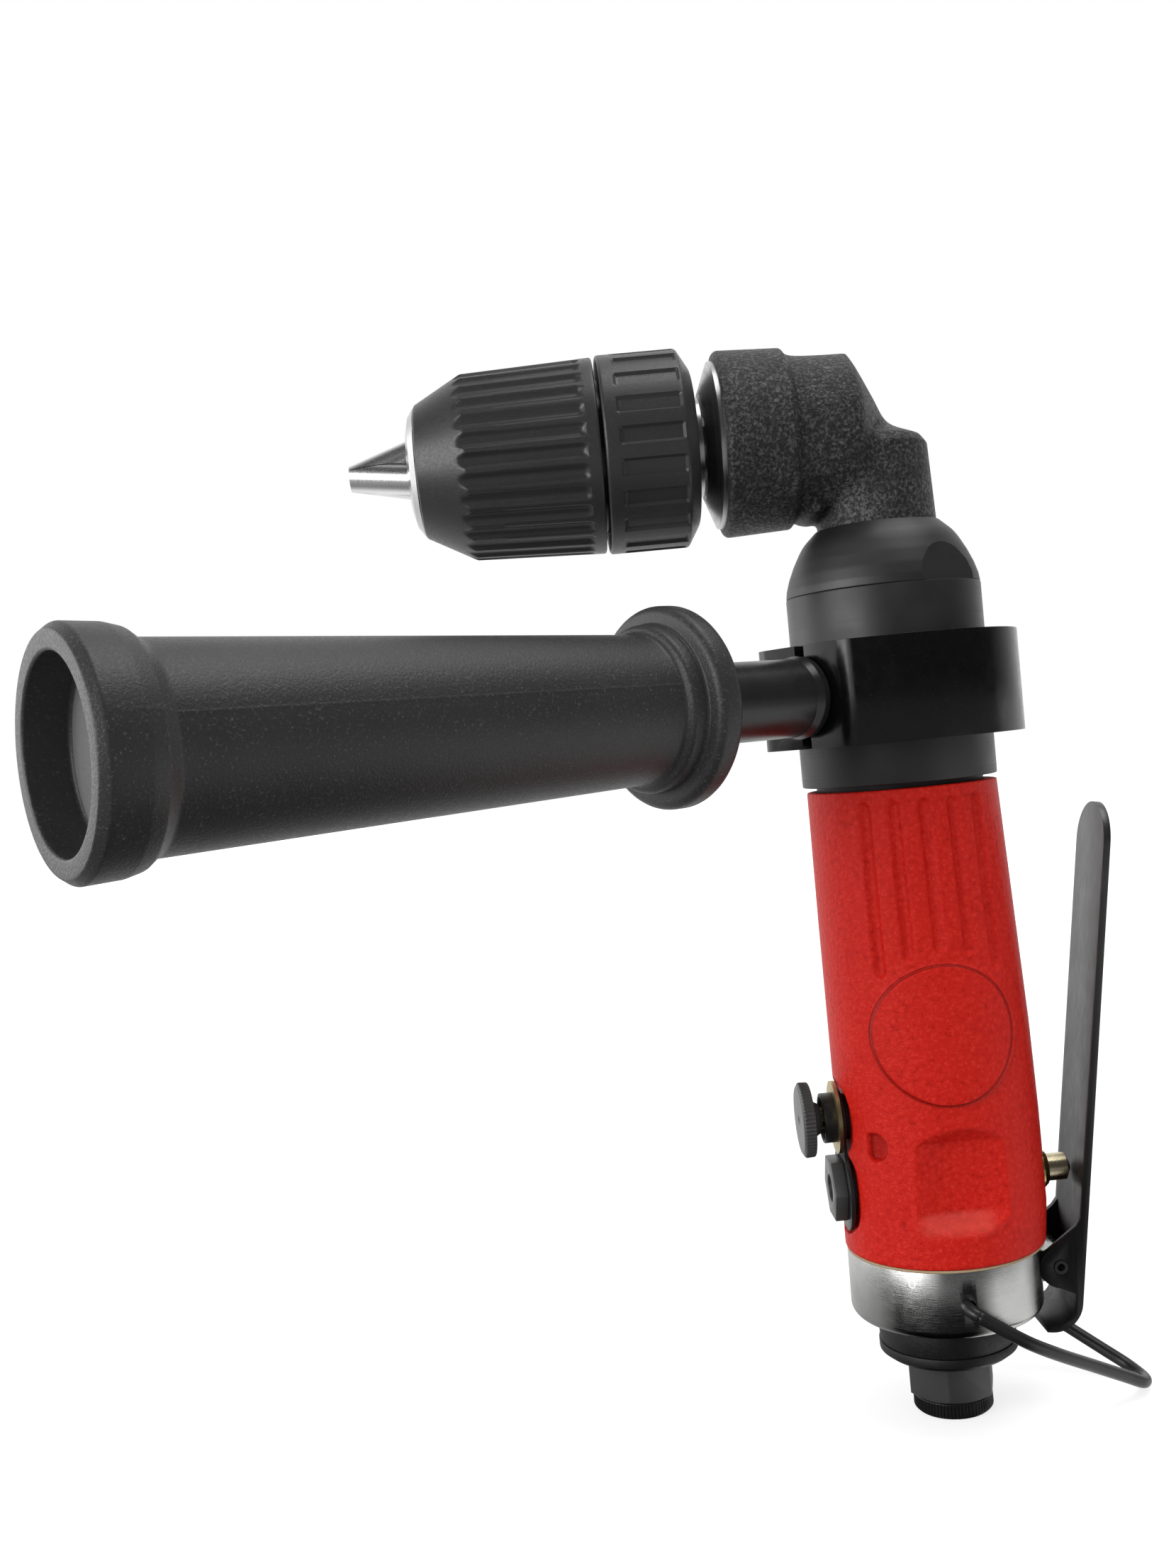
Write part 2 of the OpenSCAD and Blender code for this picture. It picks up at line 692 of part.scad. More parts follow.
// Bare aluminium rear cap with the lever lug and the bail holes
module rear_cap() {
    lug_r = lever_offset - 0.4;
    color([0.78, 0.78, 0.77])
    difference() {
        union() {
            bar(cap_z0 + cap_round, cap_z1, cap_r);
            bar(cap_z0, cap_z0 + cap_round + cut, cap_r - cap_round);
            translate([0, 0, cap_z0 + cap_round]) rotate_extrude()
                translate([cap_r - cap_round, 0]) intersection() {
                    circle(r = cap_round);
                    translate([0, -cap_round]) square([cap_round, cap_round]);
                }
            pivot_frame() rotate([90, 0, 0]) translate([0, 0, -lug_w / 2]) cylinder(r = lug_r, h = lug_w);
            translate([0, -lug_w / 2, pivot_z - lug_r]) cube([pivot_x, lug_w, 2 * lug_r]);
        }
        bar(cap_z0 - cut, cap_z1 + cut, inlet_shank_r + fit);
        for (i = [0 : 7]) rotate([0, 0, 45 * i + 22.5]) translate([inlet_shank_r + 2.6, 0, 0])
            bar(cap_z0 - cut, cap_z1 + cut, exhaust_hole_r);
        pivot_frame() rotate([90, 0, 0]) translate([0, 0, -lug_w]) cylinder(r = pivot_pin_r, h = 2 * lug_w);
        both_sides() pivot_frame() rotate([90, 0, 0])
            bar(lug_w / 2, cap_r, ear_r + 2 * swing_gap);
        both_sides() translate([0, 0, bail_z]) rotate([90, 0, 0])
            bar(cap_r - bail_seat - 0.5, cap_r + 2, bail_wire_r + fit);
    }
}

// Fixed exhaust ring with drillings that carry on those of the cap
module exhaust_ring() {
    color([0.09, 0.09, 0.1])
    difference() {
        ring(exhaust_z, cap_z0, exhaust_ring_r, inlet_shank_r + fit);
        for (i = [0 : 7]) rotate([0, 0, 45 * i + 22.5]) translate([inlet_shank_r + 2.6, 0, 0])
            bar(exhaust_z - cut, cap_z0 + cut, exhaust_hole_r);
    }
}

// Turning exhaust deflector, a round trough with one outlet at the back
module exhaust_deflector() {
    bevel = deflector_h * 0.35;
    trough_t = deflector_h * 0.45;
    z0 = deflector_z + 0.1;
    z1 = exhaust_z - 0.1;
    color([0.07, 0.07, 0.08])
    difference() {
        union() {
            taper(z0, z0 + bevel, deflector_r - 1.4, deflector_r);
            bar(z0 + bevel, z1, deflector_r);
        }
        bar(z0 - cut, z1 + cut, inlet_shank_r + 2 * fit);
        ring(z1 - trough_t, z1 + cut, inlet_shank_r + 4.4, inlet_shank_r + 0.9);
        translate([-4, inlet_shank_r + 2.6, z1 - trough_t]) cube([8, deflector_r, trough_t + cut]);
    }
}

// Inlet bushing, hex outside and pipe thread inside
module inlet_bushing() {
    color([0.16, 0.16, 0.17])
    difference() {
        union() {
            bar(0, deflector_z, inlet_nose_r);
            intersection() {
                rotate([0, 0, inlet_hex_turn]) hex_bar(inlet_nose_l, deflector_z, inlet_hex_af);
                taper(inlet_nose_l, deflector_z + cut, inlet_hex_af / 2 - hex_chamfer, inlet_hex_af / 2
                    - hex_chamfer + (inlet_hex_h + cut) / tan(30));
            }
            bar(deflector_z - 0.5, inlet_top, inlet_shank_r);
        }
        bar(-cut, screen_z, inlet_bore_r);
        bar(screen_z - cut, screen_z + screen_t, screen_r);
        bar(screen_z, inlet_top + cut, passage_r);
    }
}

// Perforated inlet screen
module inlet_screen() {
    color([0.7, 0.68, 0.6])
    difference() {
        bar(screen_z, screen_z + screen_t, screen_r - fit);
        bar(screen_z - cut, screen_z + screen_t + cut, screen_hole_r);
        for (i = [0 : 5]) rotate([0, 0, 60 * i]) translate([2.4, 0, 0])
            bar(screen_z - cut, screen_z + screen_t + cut, screen_hole_r);
    }
}

// Knurled outline for pressed and moulded grips
module knurl(z0, z1, r, depth, count) {
    translate([0, 0, z0]) linear_extrude(z1 - z0)
        polygon([for (i = [0 : 2 * count - 1])
            (r - (i % 2) * depth) * [cos(180 / count * i), sin(180 / count * i)]]);
}

// Knurled dust cap that snaps over the inlet nose
module dust_cap() {
    color([0.06, 0.06, 0.06])
    difference() {
        knurl(-dust_floor_t - fit, inlet_nose_l - fit, dust_cap_r, 0.5, 40);
        bar(-fit, inlet_nose_l + cut, inlet_nose_r + fit);
    }
}

// Gear housing with a lower spigot and an upper thread
module gear_housing() {
    color([0.13, 0.13, 0.14])
    difference() {
        union() {
            bar(ring_z0, gear_z0 + cut, spigot_r);
            bar(gear_z0, gear_z1, gear_r);
            bar(gear_z1 - cut, seat_z, nut_bore_r);
        }
        bar(ring_z0 - cut, ring_z0 + ring_h, motor_r + fit);
        bar(ring_z0, carrier_room_z, carrier_r + 0.9);
        bar(carrier_room_z - cut, carrier_bearing_z + carrier_bearing_h, carrier_bearing_r);
        bar(carrier_bearing_z, seat_z + cut, carrier_hub_r + 1);
    }
}

// Domed coupling nut with two wrench flats
module coupling_nut() {
    color([0.15, 0.15, 0.16])
    difference() {
        translate([0, 0, gear_z1]) rotate_extrude() intersection() {
            translate([gear_r - dome_r, 0]) circle(r = dome_r);
            square([gear_r, nut_h]);
        }
        bar(gear_z1 - cut, seat_z, nut_bore_r + fit);
        bar(gear_z1, seat_z + head_flange_t + fit, flange_head_r + fit);
        bar(gear_z1, nut_z1 + cut, neck_r + fit);
        for (turn = [0, 180]) rotate([0, 0, nut_flat_angle + turn])
            translate([gear_r - nut_flat, -gear_r, gear_z1 - cut])
                cube([gear_r, 2 * gear_r, nut_h + 2 * cut]);
    }
}

// Right angle head, hollow for the bevel gears and both spindle bearings
module angle_head() {
    neck_edge_z = spindle_z - 4;
    neck_edge_r = neck_r - head_draft;
    color([0.1, 0.1, 0.1])
    difference() {
        union() {
            bar(seat_z, seat_z + head_flange_t, flange_head_r);
            bar(seat_z, nut_z1, neck_r);
            taper(nut_z1, neck_edge_z, neck_r, neck_edge_r);
            taper(neck_edge_z, neck_edge_z + 2, neck_edge_r, neck_edge_r - 1.4);
            taper(neck_edge_z + 2, neck_edge_z + 6.2, neck_edge_r - 1.4, 2);
            spindle_frame() {
                taper(head_step_x, head_front_x - 0.8, head_front_r - head_draft, head_front_r);
                taper(head_front_x - 0.8, head_front_x, head_front_r, head_front_r - 0.8);
                taper(head_step_x - 1.4, head_step_x, head_rear_r - 0.2, head_front_r - head_draft);
                taper(head_back_x, head_step_x, head_rear_r - head_draft, head_rear_r);
                taper(-3.9, head_back_x, 2, head_rear_r - head_draft);
            }
        }
        bar(seat_z - cut, spindle_z - neck_roof, neck_bore_r);
        spindle_frame() {
            bar(chamber_x0, chamber_x1 + cut, chamber_r);
            bar(chamber_x1, head_front_x + cut, head_bore_r);
            bar(tail_end_x - 0.6, chamber_x0 + cut, tail_bushing_r);
        }
    }
}

// Motor end plates with bearing pockets
module rear_end_plate() {
    color([0.6, 0.6, 0.6])
    difference() {
        bar(motor_z0, cylinder_z0, cylinder_r);
        bar(motor_z0 - cut, motor_z0 + rotor_bearing_h, rotor_bearing_r);
        bar(motor_z0, cylinder_z0 + cut, plate_hole_r);
    }
}
module front_end_plate() {
    color([0.6, 0.6, 0.6])
    difference() {
        bar(cylinder_z1, ring_z0, cylinder_r);
        bar(ring_z0 - rotor_bearing_h, ring_z0 + cut, rotor_bearing_r);
        bar(cylinder_z1 - cut, ring_z0, plate_hole_r);
    }
}
module motor_cylinder() {
    color([0.66, 0.66, 0.68])
    difference() {
        bar(cylinder_z0, cylinder_z1, cylinder_r);
        translate([0, eccentric, 0]) bar(cylinder_z0 - cut, cylinder_z1 + cut, bore_r);
    }
}
module rear_rotor_bearing() {
    color([0.75, 0.75, 0.76])
        ring(motor_z0, motor_z0 + rotor_bearing_h, rotor_bearing_r, rotor_shaft_r + fit);
}
module front_rotor_bearing() {
    color([0.75, 0.75, 0.76])
        ring(ring_z0 - rotor_bearing_h, ring_z0, rotor_bearing_r, rotor_shaft_r + fit);
}

// Slotted rotor with the sun gear on its shaft
module vane_slots(t, r0, r1, z0, z1) {
    for (i = [0 : vane_count - 1]) rotate([0, 0, 360 / vane_count * i])
        translate([r0, -t / 2, z0]) cube([r1 - r0, t, z1 - z0]);
}
module rotor() {
    color([0.55, 0.55, 0.57])
    union() {
        difference() {
            bar(cylinder_z0 + end_gap, cylinder_z1 - end_gap, rotor_r);
            vane_slots(vane_t + 2 * fit, rotor_r - slot_depth, rotor_r + cut, cylinder_z0, cylinder_z1);
        }
        bar(motor_z0 + cut, cylinder_z0 + cut, rotor_shaft_r);
        bar(cylinder_z1 - cut, sun_z0, rotor_shaft_r);
        spur(sun_z0 - 0.5, sun_z1, sun_teeth, sun_pitch_r, gear_module, flank_gap);
    }
}
module rotor_vanes() {
    color([0.45, 0.32, 0.2])
        vane_slots(vane_t, rotor_r - slot_depth + 0.1, rotor_r - 0.05,
            cylinder_z0 + end_gap, cylinder_z1 - end_gap);
}

// Planet stage
module ring_gear() {
    color([0.5, 0.5, 0.52])
    difference() {
        bar(ring_z0, ring_z0 + ring_h, motor_r);
        rotate([0, 0, 180 / ring_teeth]) translate([0, 0, ring_z0 - cut]) linear_extrude(ring_h + 2 * cut)
            polygon(tooth_points(ring_teeth, ring_pitch_r, ring_pitch_r - addendum * gear_module,
                ring_pitch_r + dedendum * gear_module, -flank_gap));
    }
}
module planet_place(i) { rotate([0, 0, 120 * i]) translate([planet_orbit, 0, 0]) children(); }
module planet_gear(i) {
    color([0.58, 0.58, 0.6])
    planet_place(i) difference() {
        rotate([0, 0, 180 / planet_teeth])
            spur(planet_z0, planet_z1, planet_teeth, planet_pitch_r, gear_module, flank_gap);
        bar(planet_z0 - cut, planet_z1 + cut, pin_r + fit);
    }
}
module planet_gear_1() { planet_gear(0); }
module planet_gear_2() { planet_gear(1); }
module planet_gear_3() { planet_gear(2); }
module planet_pins() {
    color([0.7, 0.7, 0.72])
        for (i = [0 : 2]) planet_place(i) bar(planet_z0 - 0.5, carrier_z1, pin_r);
}
module planet_carrier() {
    color([0.52, 0.52, 0.54])
    difference() {
        union() {
            bar(carrier_z0, carrier_z1, carrier_r);
            bar(carrier_z1 - cut, drive_z1, carrier_hub_r);
        }
        for (i = [0 : 2]) planet_place(i) bar(carrier_z0 - cut, carrier_z1 + cut, pin_r);
        hex_bar(drive_z0, drive_z1 + cut, drive_af + 2 * fit);
    }
}
module carrier_bearing() {
    color([0.75, 0.75, 0.76])
        ring(carrier_bearing_z, carrier_bearing_z + carrier_bearing_h, carrier_bearing_r,
            carrier_hub_r + fit);
}

// Bevel pinion on the motor axis
module bevel_pinion() {
    bearing_top = pinion_bearing_z + pinion_bearing_h;
    color([0.5, 0.5, 0.52])
    union() {
        hex_bar(drive_z0 + 0.3, drive_z1 + 0.5, drive_af);
        bar(drive_z1 + 0.2, bearing_top + cut, pinion_shaft_r);
        bar(bearing_top + 0.3, pinion_z + cut, pinion_shaft_r + 1.2);
        translate([0, 0, spindle_z]) rotate([180, 0, 0])
            bevel_teeth_body(pinion_teeth, pinion_pitch_r, pinion_cone);
    }
}
module pinion_bearing() {
    color([0.75, 0.75, 0.76])
        ring(pinion_bearing_z, pinion_bearing_z + pinion_bearing_h, neck_bore_r, pinion_shaft_r + fit);
}

// Bevel gear, spindle and its bearings
module bevel_gear() {
    color([0.5, 0.5, 0.52])
    spindle_frame() difference() {
        union() {
            rotate([0, 0, 180 / bevel_teeth])
                bevel_teeth_body(bevel_teeth, bevel_pitch_r, bevel_cone);
            bar(pinion_pitch_r, gear_back_x, bevel_pitch_r * 0.72);
        }
        bar(0, gear_back_x + cut, gear_seat_r);
    }
}
module spindle() {
    color([0.7, 0.7, 0.71])
    spindle_frame() difference() {
        union() {
            bar(tail_end_x, gear_seat_x + cut, tail_r);
            bar(gear_seat_x, gear_back_x + cut, gear_seat_r);
            bar(gear_back_x, boss_x, spindle_r);
            bar(boss_x - cut, thread_end_x, spindle_thread_r);
        }
        bar(boss_x + 2, thread_end_x + cut, chuck_screw_r);
    }
}
module spindle_bearing() {
    color([0.75, 0.75, 0.76])
        spindle_frame() ring(chamber_x1, bearing_x1, head_bore_r, spindle_r + fit);
}
module tail_bushing() {
    color([0.72, 0.56, 0.3])
        spindle_frame() ring(tail_end_x - 0.6, chamber_x0, tail_bushing_r, tail_r + fit);
}
module bearing_cap() {
    color([0.8, 0.8, 0.79])
    spindle_frame() difference() {
        union() {
            bar(bearing_x1, head_front_x + cut, head_bore_r);
            bar(head_front_x, head_front_x + 1, cap_face_r);
            taper(head_front_x + 1, cap_front_x, cap_face_r, boss_r + 1);
        }
        bar(bearing_x1 - cut, cap_front_x + cut, spindle_r + 0.6);
    }
}

// Keyless chuck
module jaw_frame(i) {
    spindle_frame() rotate([0, 0, 120 * i]) translate([0, 0, jaw_tip_x - jaw_cross])
        rotate([0, 180 - jaw_tilt, 0]) mirror([1, 0, 0]) children();
}
module chuck_body() {
    color([0.82, 0.82, 0.82])
    difference() {
        spindle_frame() difference() {
            union() {
                bar(boss_x, chuck_back_x + 2, boss_r);
                bar(chuck_back_x + 1.8, groove_x0, chuck_core_r);
                bar(groove_x0 - cut, nose_room_x + cut, groove_body_r);
                bar(nose_room_x, sleeve_x2 + 0.2, nose_r);
                taper(sleeve_x2 + 0.2, nose_x - 0.7, nose_r, nose_r - 1.8);
                taper(nose_x - 0.7, nose_x, nose_r - 1.8, nose_r - 4.6);
            }
            bar(boss_x - cut, thread_end_x, spindle_thread_r);
            bar(thread_end_x - cut, screw_seat_x + cut, chuck_screw_r + fit);
            bar(screw_seat_x, nose_x + cut, chuck_bore_r);
        }
        for (i = [0 : 2]) jaw_frame(i) bar(-5, jaw_l + jaw_travel + 3, jaw_r + jaw_gap);
    }
}
module chuck_screw() {
    color([0.3, 0.3, 0.32])
    spindle_frame() difference() {
        union() {
            bar(boss_x + 4, screw_seat_x + cut, chuck_screw_r);
            bar(screw_seat_x, screw_seat_x + 4, chuck_screw_r * 1.9);
        }
        hex_bar(screw_seat_x + 1.5, screw_seat_x + 5, 4);
    }
}
module rear_sleeve() {
    edge_x = chuck_back_x + 2.8;
    color([0.12, 0.12, 0.12])
    spindle_frame() difference() {
        union() {
            taper(chuck_back_x, edge_x, chuck_r - 4.6, chuck_r);
            bar(edge_x, rear_front_x - 0.7, chuck_r);
            taper(rear_front_x - 0.7, rear_front_x, chuck_r, chuck_r - 0.7);
        }
        bar(chuck_back_x - cut, rear_front_x, boss_r + fit);
        bar(chuck_back_x + 1.8, rear_front_x + cut, chuck_core_r + fit);
        for (i = [0 : pocket_count - 1]) rotate([0, 0, 360 / pocket_count * i])
            translate([chuck_r - pocket_depth, -1.75, edge_x + 0.4])
            cube([2, 3.5, rear_sleeve_l - 6.2]);
    }
}
module front_sleeve() {
    flute_r = 1.5;
    flute_lean = atan((chuck_r - 0.35 - sleeve_front_r) / front_sleeve_l);
    color([0.12, 0.12, 0.12])
    spindle_frame() difference() {
        union() {
            taper(sleeve_x0, sleeve_x1, chuck_r - 0.35, sleeve_front_r);
            taper(sleeve_x1, sleeve_x2, sleeve_front_r, nose_r + 0.3);
        }
        bar(sleeve_x0 - cut, sleeve_x2 + cut, nose_r + 2 * fit);
        bar(sleeve_x0 - cut, sleeve_x0 + 3 + cut, chuck_core_r + 2 * fit);
        bar(sleeve_x0 + 3, sleeve_x1 - 2, sleeve_room_r);
        taper(sleeve_x1 - 2 - fit, nose_room_x, sleeve_room_r, nose_r + 1.6);
        for (i = [0 : flute_count - 1]) rotate([0, 0, 360 / flute_count * i])
            translate([chuck_r - 0.35 + flute_r - flute_depth, 0, sleeve_x0 + 3.2])
            rotate([0, -flute_lean, 0]) {
                cylinder(r = flute_r, h = front_sleeve_l - 0.8);
                sphere(r = flute_r);
            }
    }
}
module chuck_nut() {
    slope = tan(jaw_tilt);
    line = jaw_r / cos(jaw_tilt) + nut_gap;
    r0 = line + (jaw_tip_x - jaw_cross - nut_x0) * slope;
    r1 = line + (jaw_tip_x - jaw_cross - nut_x1) * slope;
    color([0.45, 0.45, 0.47])
    spindle_frame() difference() {
        bar(nut_x0, nut_x1, sleeve_room_r - fit);
        taper(nut_x0 - cut, nut_x1 + cut, r0 + slope * cut, r1 - slope * cut);
    }
}
module jaw(i) {
    color([0.86, 0.86, 0.87])
    intersection() {
        jaw_frame(i) bar(-jaw_cross - 3, jaw_l - jaw_cross, jaw_r);
        spindle_frame() rotate([0, 0, 120 * i]) translate([0, 0, jaw_tip_x - 2 * jaw_l])
            linear_extrude(2 * jaw_l) polygon([[jaw_split, 0], [jaw_cut, tan(60) * (jaw_cut - jaw_split)],
                [jaw_cut, -tan(60) * (jaw_cut - jaw_split)]]);
    }
}
module jaw_1() { jaw(0); }
module jaw_2() { jaw(1); }
module jaw_3() { jaw(2); }

// Side handle clamp, rod and grip
module clamp_outline() {
    rotate(handle_angle + 180) difference() {
        union() {
            circle(r = clamp_r);
            translate([0, -boss_w / 2]) square([clamp_r + cut, boss_w]);
        }
        translate([boss_s, -clamp_r]) square([clamp_r, 2 * clamp_r]);
        circle(r = gear_r + fit);
        translate([gear_r - 4, -slit_w / 2]) square([clamp_r, slit_w]);
    }
}
module handle_clamp() {
    color([0.06, 0.06, 0.07])
    difference() {
        translate([0, 0, clamp_z0]) linear_extrude(clamp_h) clamp_outline();
        handle_frame() bar(gear_r - 2, clamp_r + cut, rod_thread_r + fit);
    }
}
module handle_rod() {
    color([0.12, 0.12, 0.13])
    handle_frame() union() {
        bar(rod_tip_s, boss_s + cut, rod_thread_r);
        bar(boss_s + 0.1, flange_s, rod_r);
        bar(flange_s - cut, grip_s1 - stud_stop, stud_r);
    }
}
module side_handle() {
    color([0.1, 0.1, 0.1])
    handle_frame() difference() {
        union() {
            taper(flange_s, flange_s + edge_round, flange_r - edge_round, flange_r);
            bar(flange_s + edge_round, flange_s + flange_t - edge_round, flange_r);
            taper(flange_s + flange_t - edge_round, flange_s + flange_t, flange_r, flange_r - edge_round);
            bar(flange_s + flange_t - cut, grip_s0 - 1, bead_r);
            taper(grip_s0 - 1, grip_s0, bead_r, grip_r1);
            taper(grip_s0 - cut, grip_s1 + cut, grip_r1, grip_r2);
            taper(grip_s1, grip_s1 + collar_step, grip_r2, collar_r - 1.5);
            taper(grip_s1 + collar_step, handle_end - 2, collar_r - 1.5, collar_r);
            taper(handle_end - 2, handle_end, collar_r, collar_r - 1.2);
        }
        bar(flange_s - cut, grip_s1 - stud_stop + 0.5, stud_r);
        bar(handle_end - recess_d, handle_end + cut, recess_r);
    }
}

// Throttle lever, bent sheet with two ears and a curled heel
module lever_strip() {
    tip_r = lever_w / 2;
    intersection() {
        translate([lever_offset, -lever_w / 2, -strip_down]) cube([lever_t, lever_w, lever_l + strip_down]);
        union() {
            translate([0, -lever_w / 2, -lever_l]) cube([4 * lever_offset, lever_w, 2 * lever_l - tip_r]);
            translate([0, 0, lever_l - tip_r]) along_x() cylinder(r = tip_r, h = 4 * lever_offset);
        }
    }
}
module lever_ear() {
    translate([0, lever_w / 2, 0]) rotate([90, 0, 0]) linear_extrude(lever_t) difference() {
        union() {
            circle(r = ear_r);
            polygon([[0, -ear_r], [lever_offset + lever_t / 2, -ear_down],
                [lever_offset + lever_t / 2, ear_up + 3], [lever_offset - 1, ear_up],
                [-ear_r * 0.6, ear_r * 0.8]]);
        }
        circle(r = pivot_pin_r + fit);
    }
}
module lever_heel() {
    heel_x = lever_offset + lever_t - heel_r;
    translate([heel_x, 0, -strip_down]) rotate([90, 0, 0]) translate([0, 0, -lever_w / 2]) {
        linear_extrude(lever_w) intersection() {
            difference() {
                circle(r = heel_r);
                circle(r = heel_r - lever_t);
            }
            translate([0, -heel_r]) square([heel_r, heel_r]);
        }
        translate([-heel_lip, -heel_r, 0]) cube([heel_lip + 0.1, lever_t, lever_w]);
    }
}
module throttle_lever() {
    color([0.2, 0.2, 0.21])
    pivot_frame() rotate([0, lever_lean, 0]) union() {
        lever_strip();
        both_sides() lever_ear();
        lever_heel();
    }
}
module lever_pin() {
    color([0.4, 0.4, 0.42])
    pivot_frame() rotate([90, 0, 0])
        ring(-lever_w / 2 - 0.2, lever_w / 2 + 0.2, pivot_pin_r, pivot_pin_r * 0.55);
}

// Throttle valve on the +X side
module throttle_bushing() {
    color([0.74, 0.6, 0.33])
    throttle_frame() difference() {
        union() {
            bar(bushing_in_x, bushing_out_x - 1.2, bushing_r);
            taper(bushing_out_x - 1.2, bushing_out_x, bushing_r, bushing_r - 1);
        }
        bar(bushing_in_x - cut, bushing_out_x + cut, stem_r + fit);
    }
}
module throttle_stem() {
    color([0.76, 0.62, 0.36])
    throttle_frame() union() {
        bar(valve_head_x - cut, stem_tip_x - 1, stem_r);
        taper(stem_tip_x - 1, stem_tip_x, stem_r, stem_r * 0.4);
        bar(valve_head_x - valve_head_t, valve_head_x, valve_head_r);
    }
}
module valve_spring() {
    spring_r = valve_head_r - valve_wire_r;
    turns = 6;
    x0 = -plug_in_x + valve_wire_r + 0.1;
    x1 = valve_head_x - valve_head_t - valve_wire_r - 0.1;
    steps = turns * 12;
    path = [for (i = [0 : steps]) let (a = 360 * turns * i / steps)
        [spring_r * cos(a), spring_r * sin(a), lerp(x0, x1, i / steps)]];
    color([0.6, 0.6, 0.62]) throttle_frame() coil(path, valve_wire_r);
}
// Coil wire, each ring stands square to the coil axis plane
module coil(path, wire_r) {
    sides = 6;
    count = len(path);
    rings = [for (p = path) let (out = [p[0], p[1], 0] / norm([p[0], p[1], 0]))
        for (k = [0 : sides - 1]) p + wire_r * (cos(60 * k) * out + sin(60 * k) * [0, 0, 1])];
    walls = [for (i = [0 : count - 2], k = [0 : sides - 1])
        let (a = i * sides + k, b = i * sides + (k + 1) % sides)
        [[a, b, a + sides], [b, b + sides, a + sides]]];
    faces = concat([for (w = walls, f = w) f],
        [[for (k = [sides - 1 : -1 : 0]) k]],
        [[for (k = [0 : sides - 1]) (count - 1) * sides + k]]);
    polyhedron(points = rings, faces = faces, convexity = 10);
}

// Hex plug that closes the throttle bore
module throttle_plug() {
    color([0.1, 0.1, 0.11])
    toward_chuck(throttle_z) difference() {
        union() {
            bar(plug_in_x, washer_x + 0.5, plug_shank_r);
            rotate([0, 0, 30]) hex_bar(washer_x, plug_face_x, throttle_plug_af);
        }
        bar(plug_face_x - 5, plug_face_x + cut, 3);
    }
}
module retainer_plate() {
    color([0.08, 0.08, 0.08])
    difference() {
        union() {
            toward_chuck(throttle_z) bar(valve_flat_x, washer_x, plate_end_r);
            toward_chuck(reverse_z) bar(valve_flat_x, washer_x, plate_top_r);
            translate([-washer_x, -plate_web / 2, throttle_z]) cube([plate_t, plate_web, valve_pitch]);
        }
        toward_chuck(throttle_z) bar(valve_flat_x - cut, washer_x + cut, plug_shank_r + fit);
        toward_chuck(reverse_z) bar(valve_flat_x - cut, washer_x + cut, reverse_shank_r + fit);
    }
}

// Reverse valve with its push knob
module reverse_washer() {
    color([0.75, 0.66, 0.44])
        toward_chuck(reverse_z) ring(washer_x, collar_x, washer_r, reverse_shank_r + fit);
}
module reverse_bushing() {
    color([0.07, 0.07, 0.08])
    toward_chuck(reverse_z) difference() {
        union() {
            bar(spool_x1 + spool_room, collar_x + 0.5, reverse_shank_r);
            bar(collar_x, collar_out_x, reverse_collar_r);
        }
        bar(spool_x1, collar_out_x + cut, reverse_stem_r + fit);
        bar(collar_x + 0.2, collar_out_x + cut, reverse_collar_r - 0.7);
    }
}
module reverse_knob() {
    color([0.09, 0.09, 0.1])
    toward_chuck(reverse_z) difference() {
        union() {
            knurl(knob_x, knob_x + knob_t - 0.6, knob_r, 0.45, 36);
            taper(knob_x + knob_t - 0.7, knob_x + knob_t, knob_r - 0.5, knob_r - 1.2);
            taper(collar_out_x + 0.3, knob_x + 0.1, reverse_stem_r + 0.6, reverse_collar_r - 1);
        }
        translate([0, 0, knob_x + knob_t + 0.5]) sphere(r = 1.3);
        bar(collar_out_x, knob_x + 1, reverse_stem_r - 0.6);
    }
}
module reverse_spool() {
    land = (spool_x1 - spool_x0) / 5;
    color([0.72, 0.6, 0.36])
    toward_chuck(reverse_z) union() {
        bar(spool_x0, spool_x1, spool_r - 1.2);
        for (i = [0, 2, 4]) bar(spool_x0 + i * land, spool_x0 + (i + 1) * land, spool_r);
        bar(spool_x1 - cut, collar_out_x + 0.3, reverse_stem_r);
        bar(collar_out_x, knob_x + 1, reverse_stem_r - 0.65);
    }
}

// Wire bail that hangs the tool, sprung into two holes of the cap
function smooth_point(p, i, t) =
    let (a = p[i - 1], b = p[i], c = p[i + 1], d = p[i + 2])
    b + (c - a) * t / 2 + (2 * a - 5 * b + 4 * c - d) * t * t / 2 + (3 * b - a - 3 * c + d) * t * t * t / 2;
function smooth_path(p, steps) = concat([p[0]],
    [for (i = [1 : len(p) - 3], k = [0 : steps - 1]) smooth_point(p, i, k / steps)],
    [p[len(p) - 2], p[len(p) - 1]]);
module hanging_bail() {
    tip_r = 6;
    pin_y = cap_r + bail_room;
    bend_r = bail_out - bail_room - 0.6;
    w = cap_r + bail_out;
    l = bail_l;
    bend = [for (a = [0 : 15 : 90]) [bend_r * (1 - cos(a)), -pin_y - bend_r * sin(a)]];
    right = concat([[0, -cap_r + bail_seat], [0, -cap_r]], bend, [[l * 0.2, -w], [l * 0.3, -w + 0.8],
        [l * 0.45, -w * 0.82], [l * 0.65, -w * 0.57], [l - tip_r * 1.3, -w * 0.33],
        [l - tip_r * 0.5, -w * 0.22], [l - tip_r * 0.13, -w * 0.11]]);
    count = len(right);
    flat = concat(right, [[l, 0]], [for (i = [count - 1 : -1 : 0]) [right[i][0], -right[i][1]]]);
    path = smooth_path([for (p = flat) [p[0], p[1], 0]], bail_steps);
    color([0.2, 0.2, 0.21])
        translate([0, 0, bail_z]) rotate([0, bail_angle, 0])
        wire_path(path, bail_wire_r, [0, 0, 1], bail_sides);
}

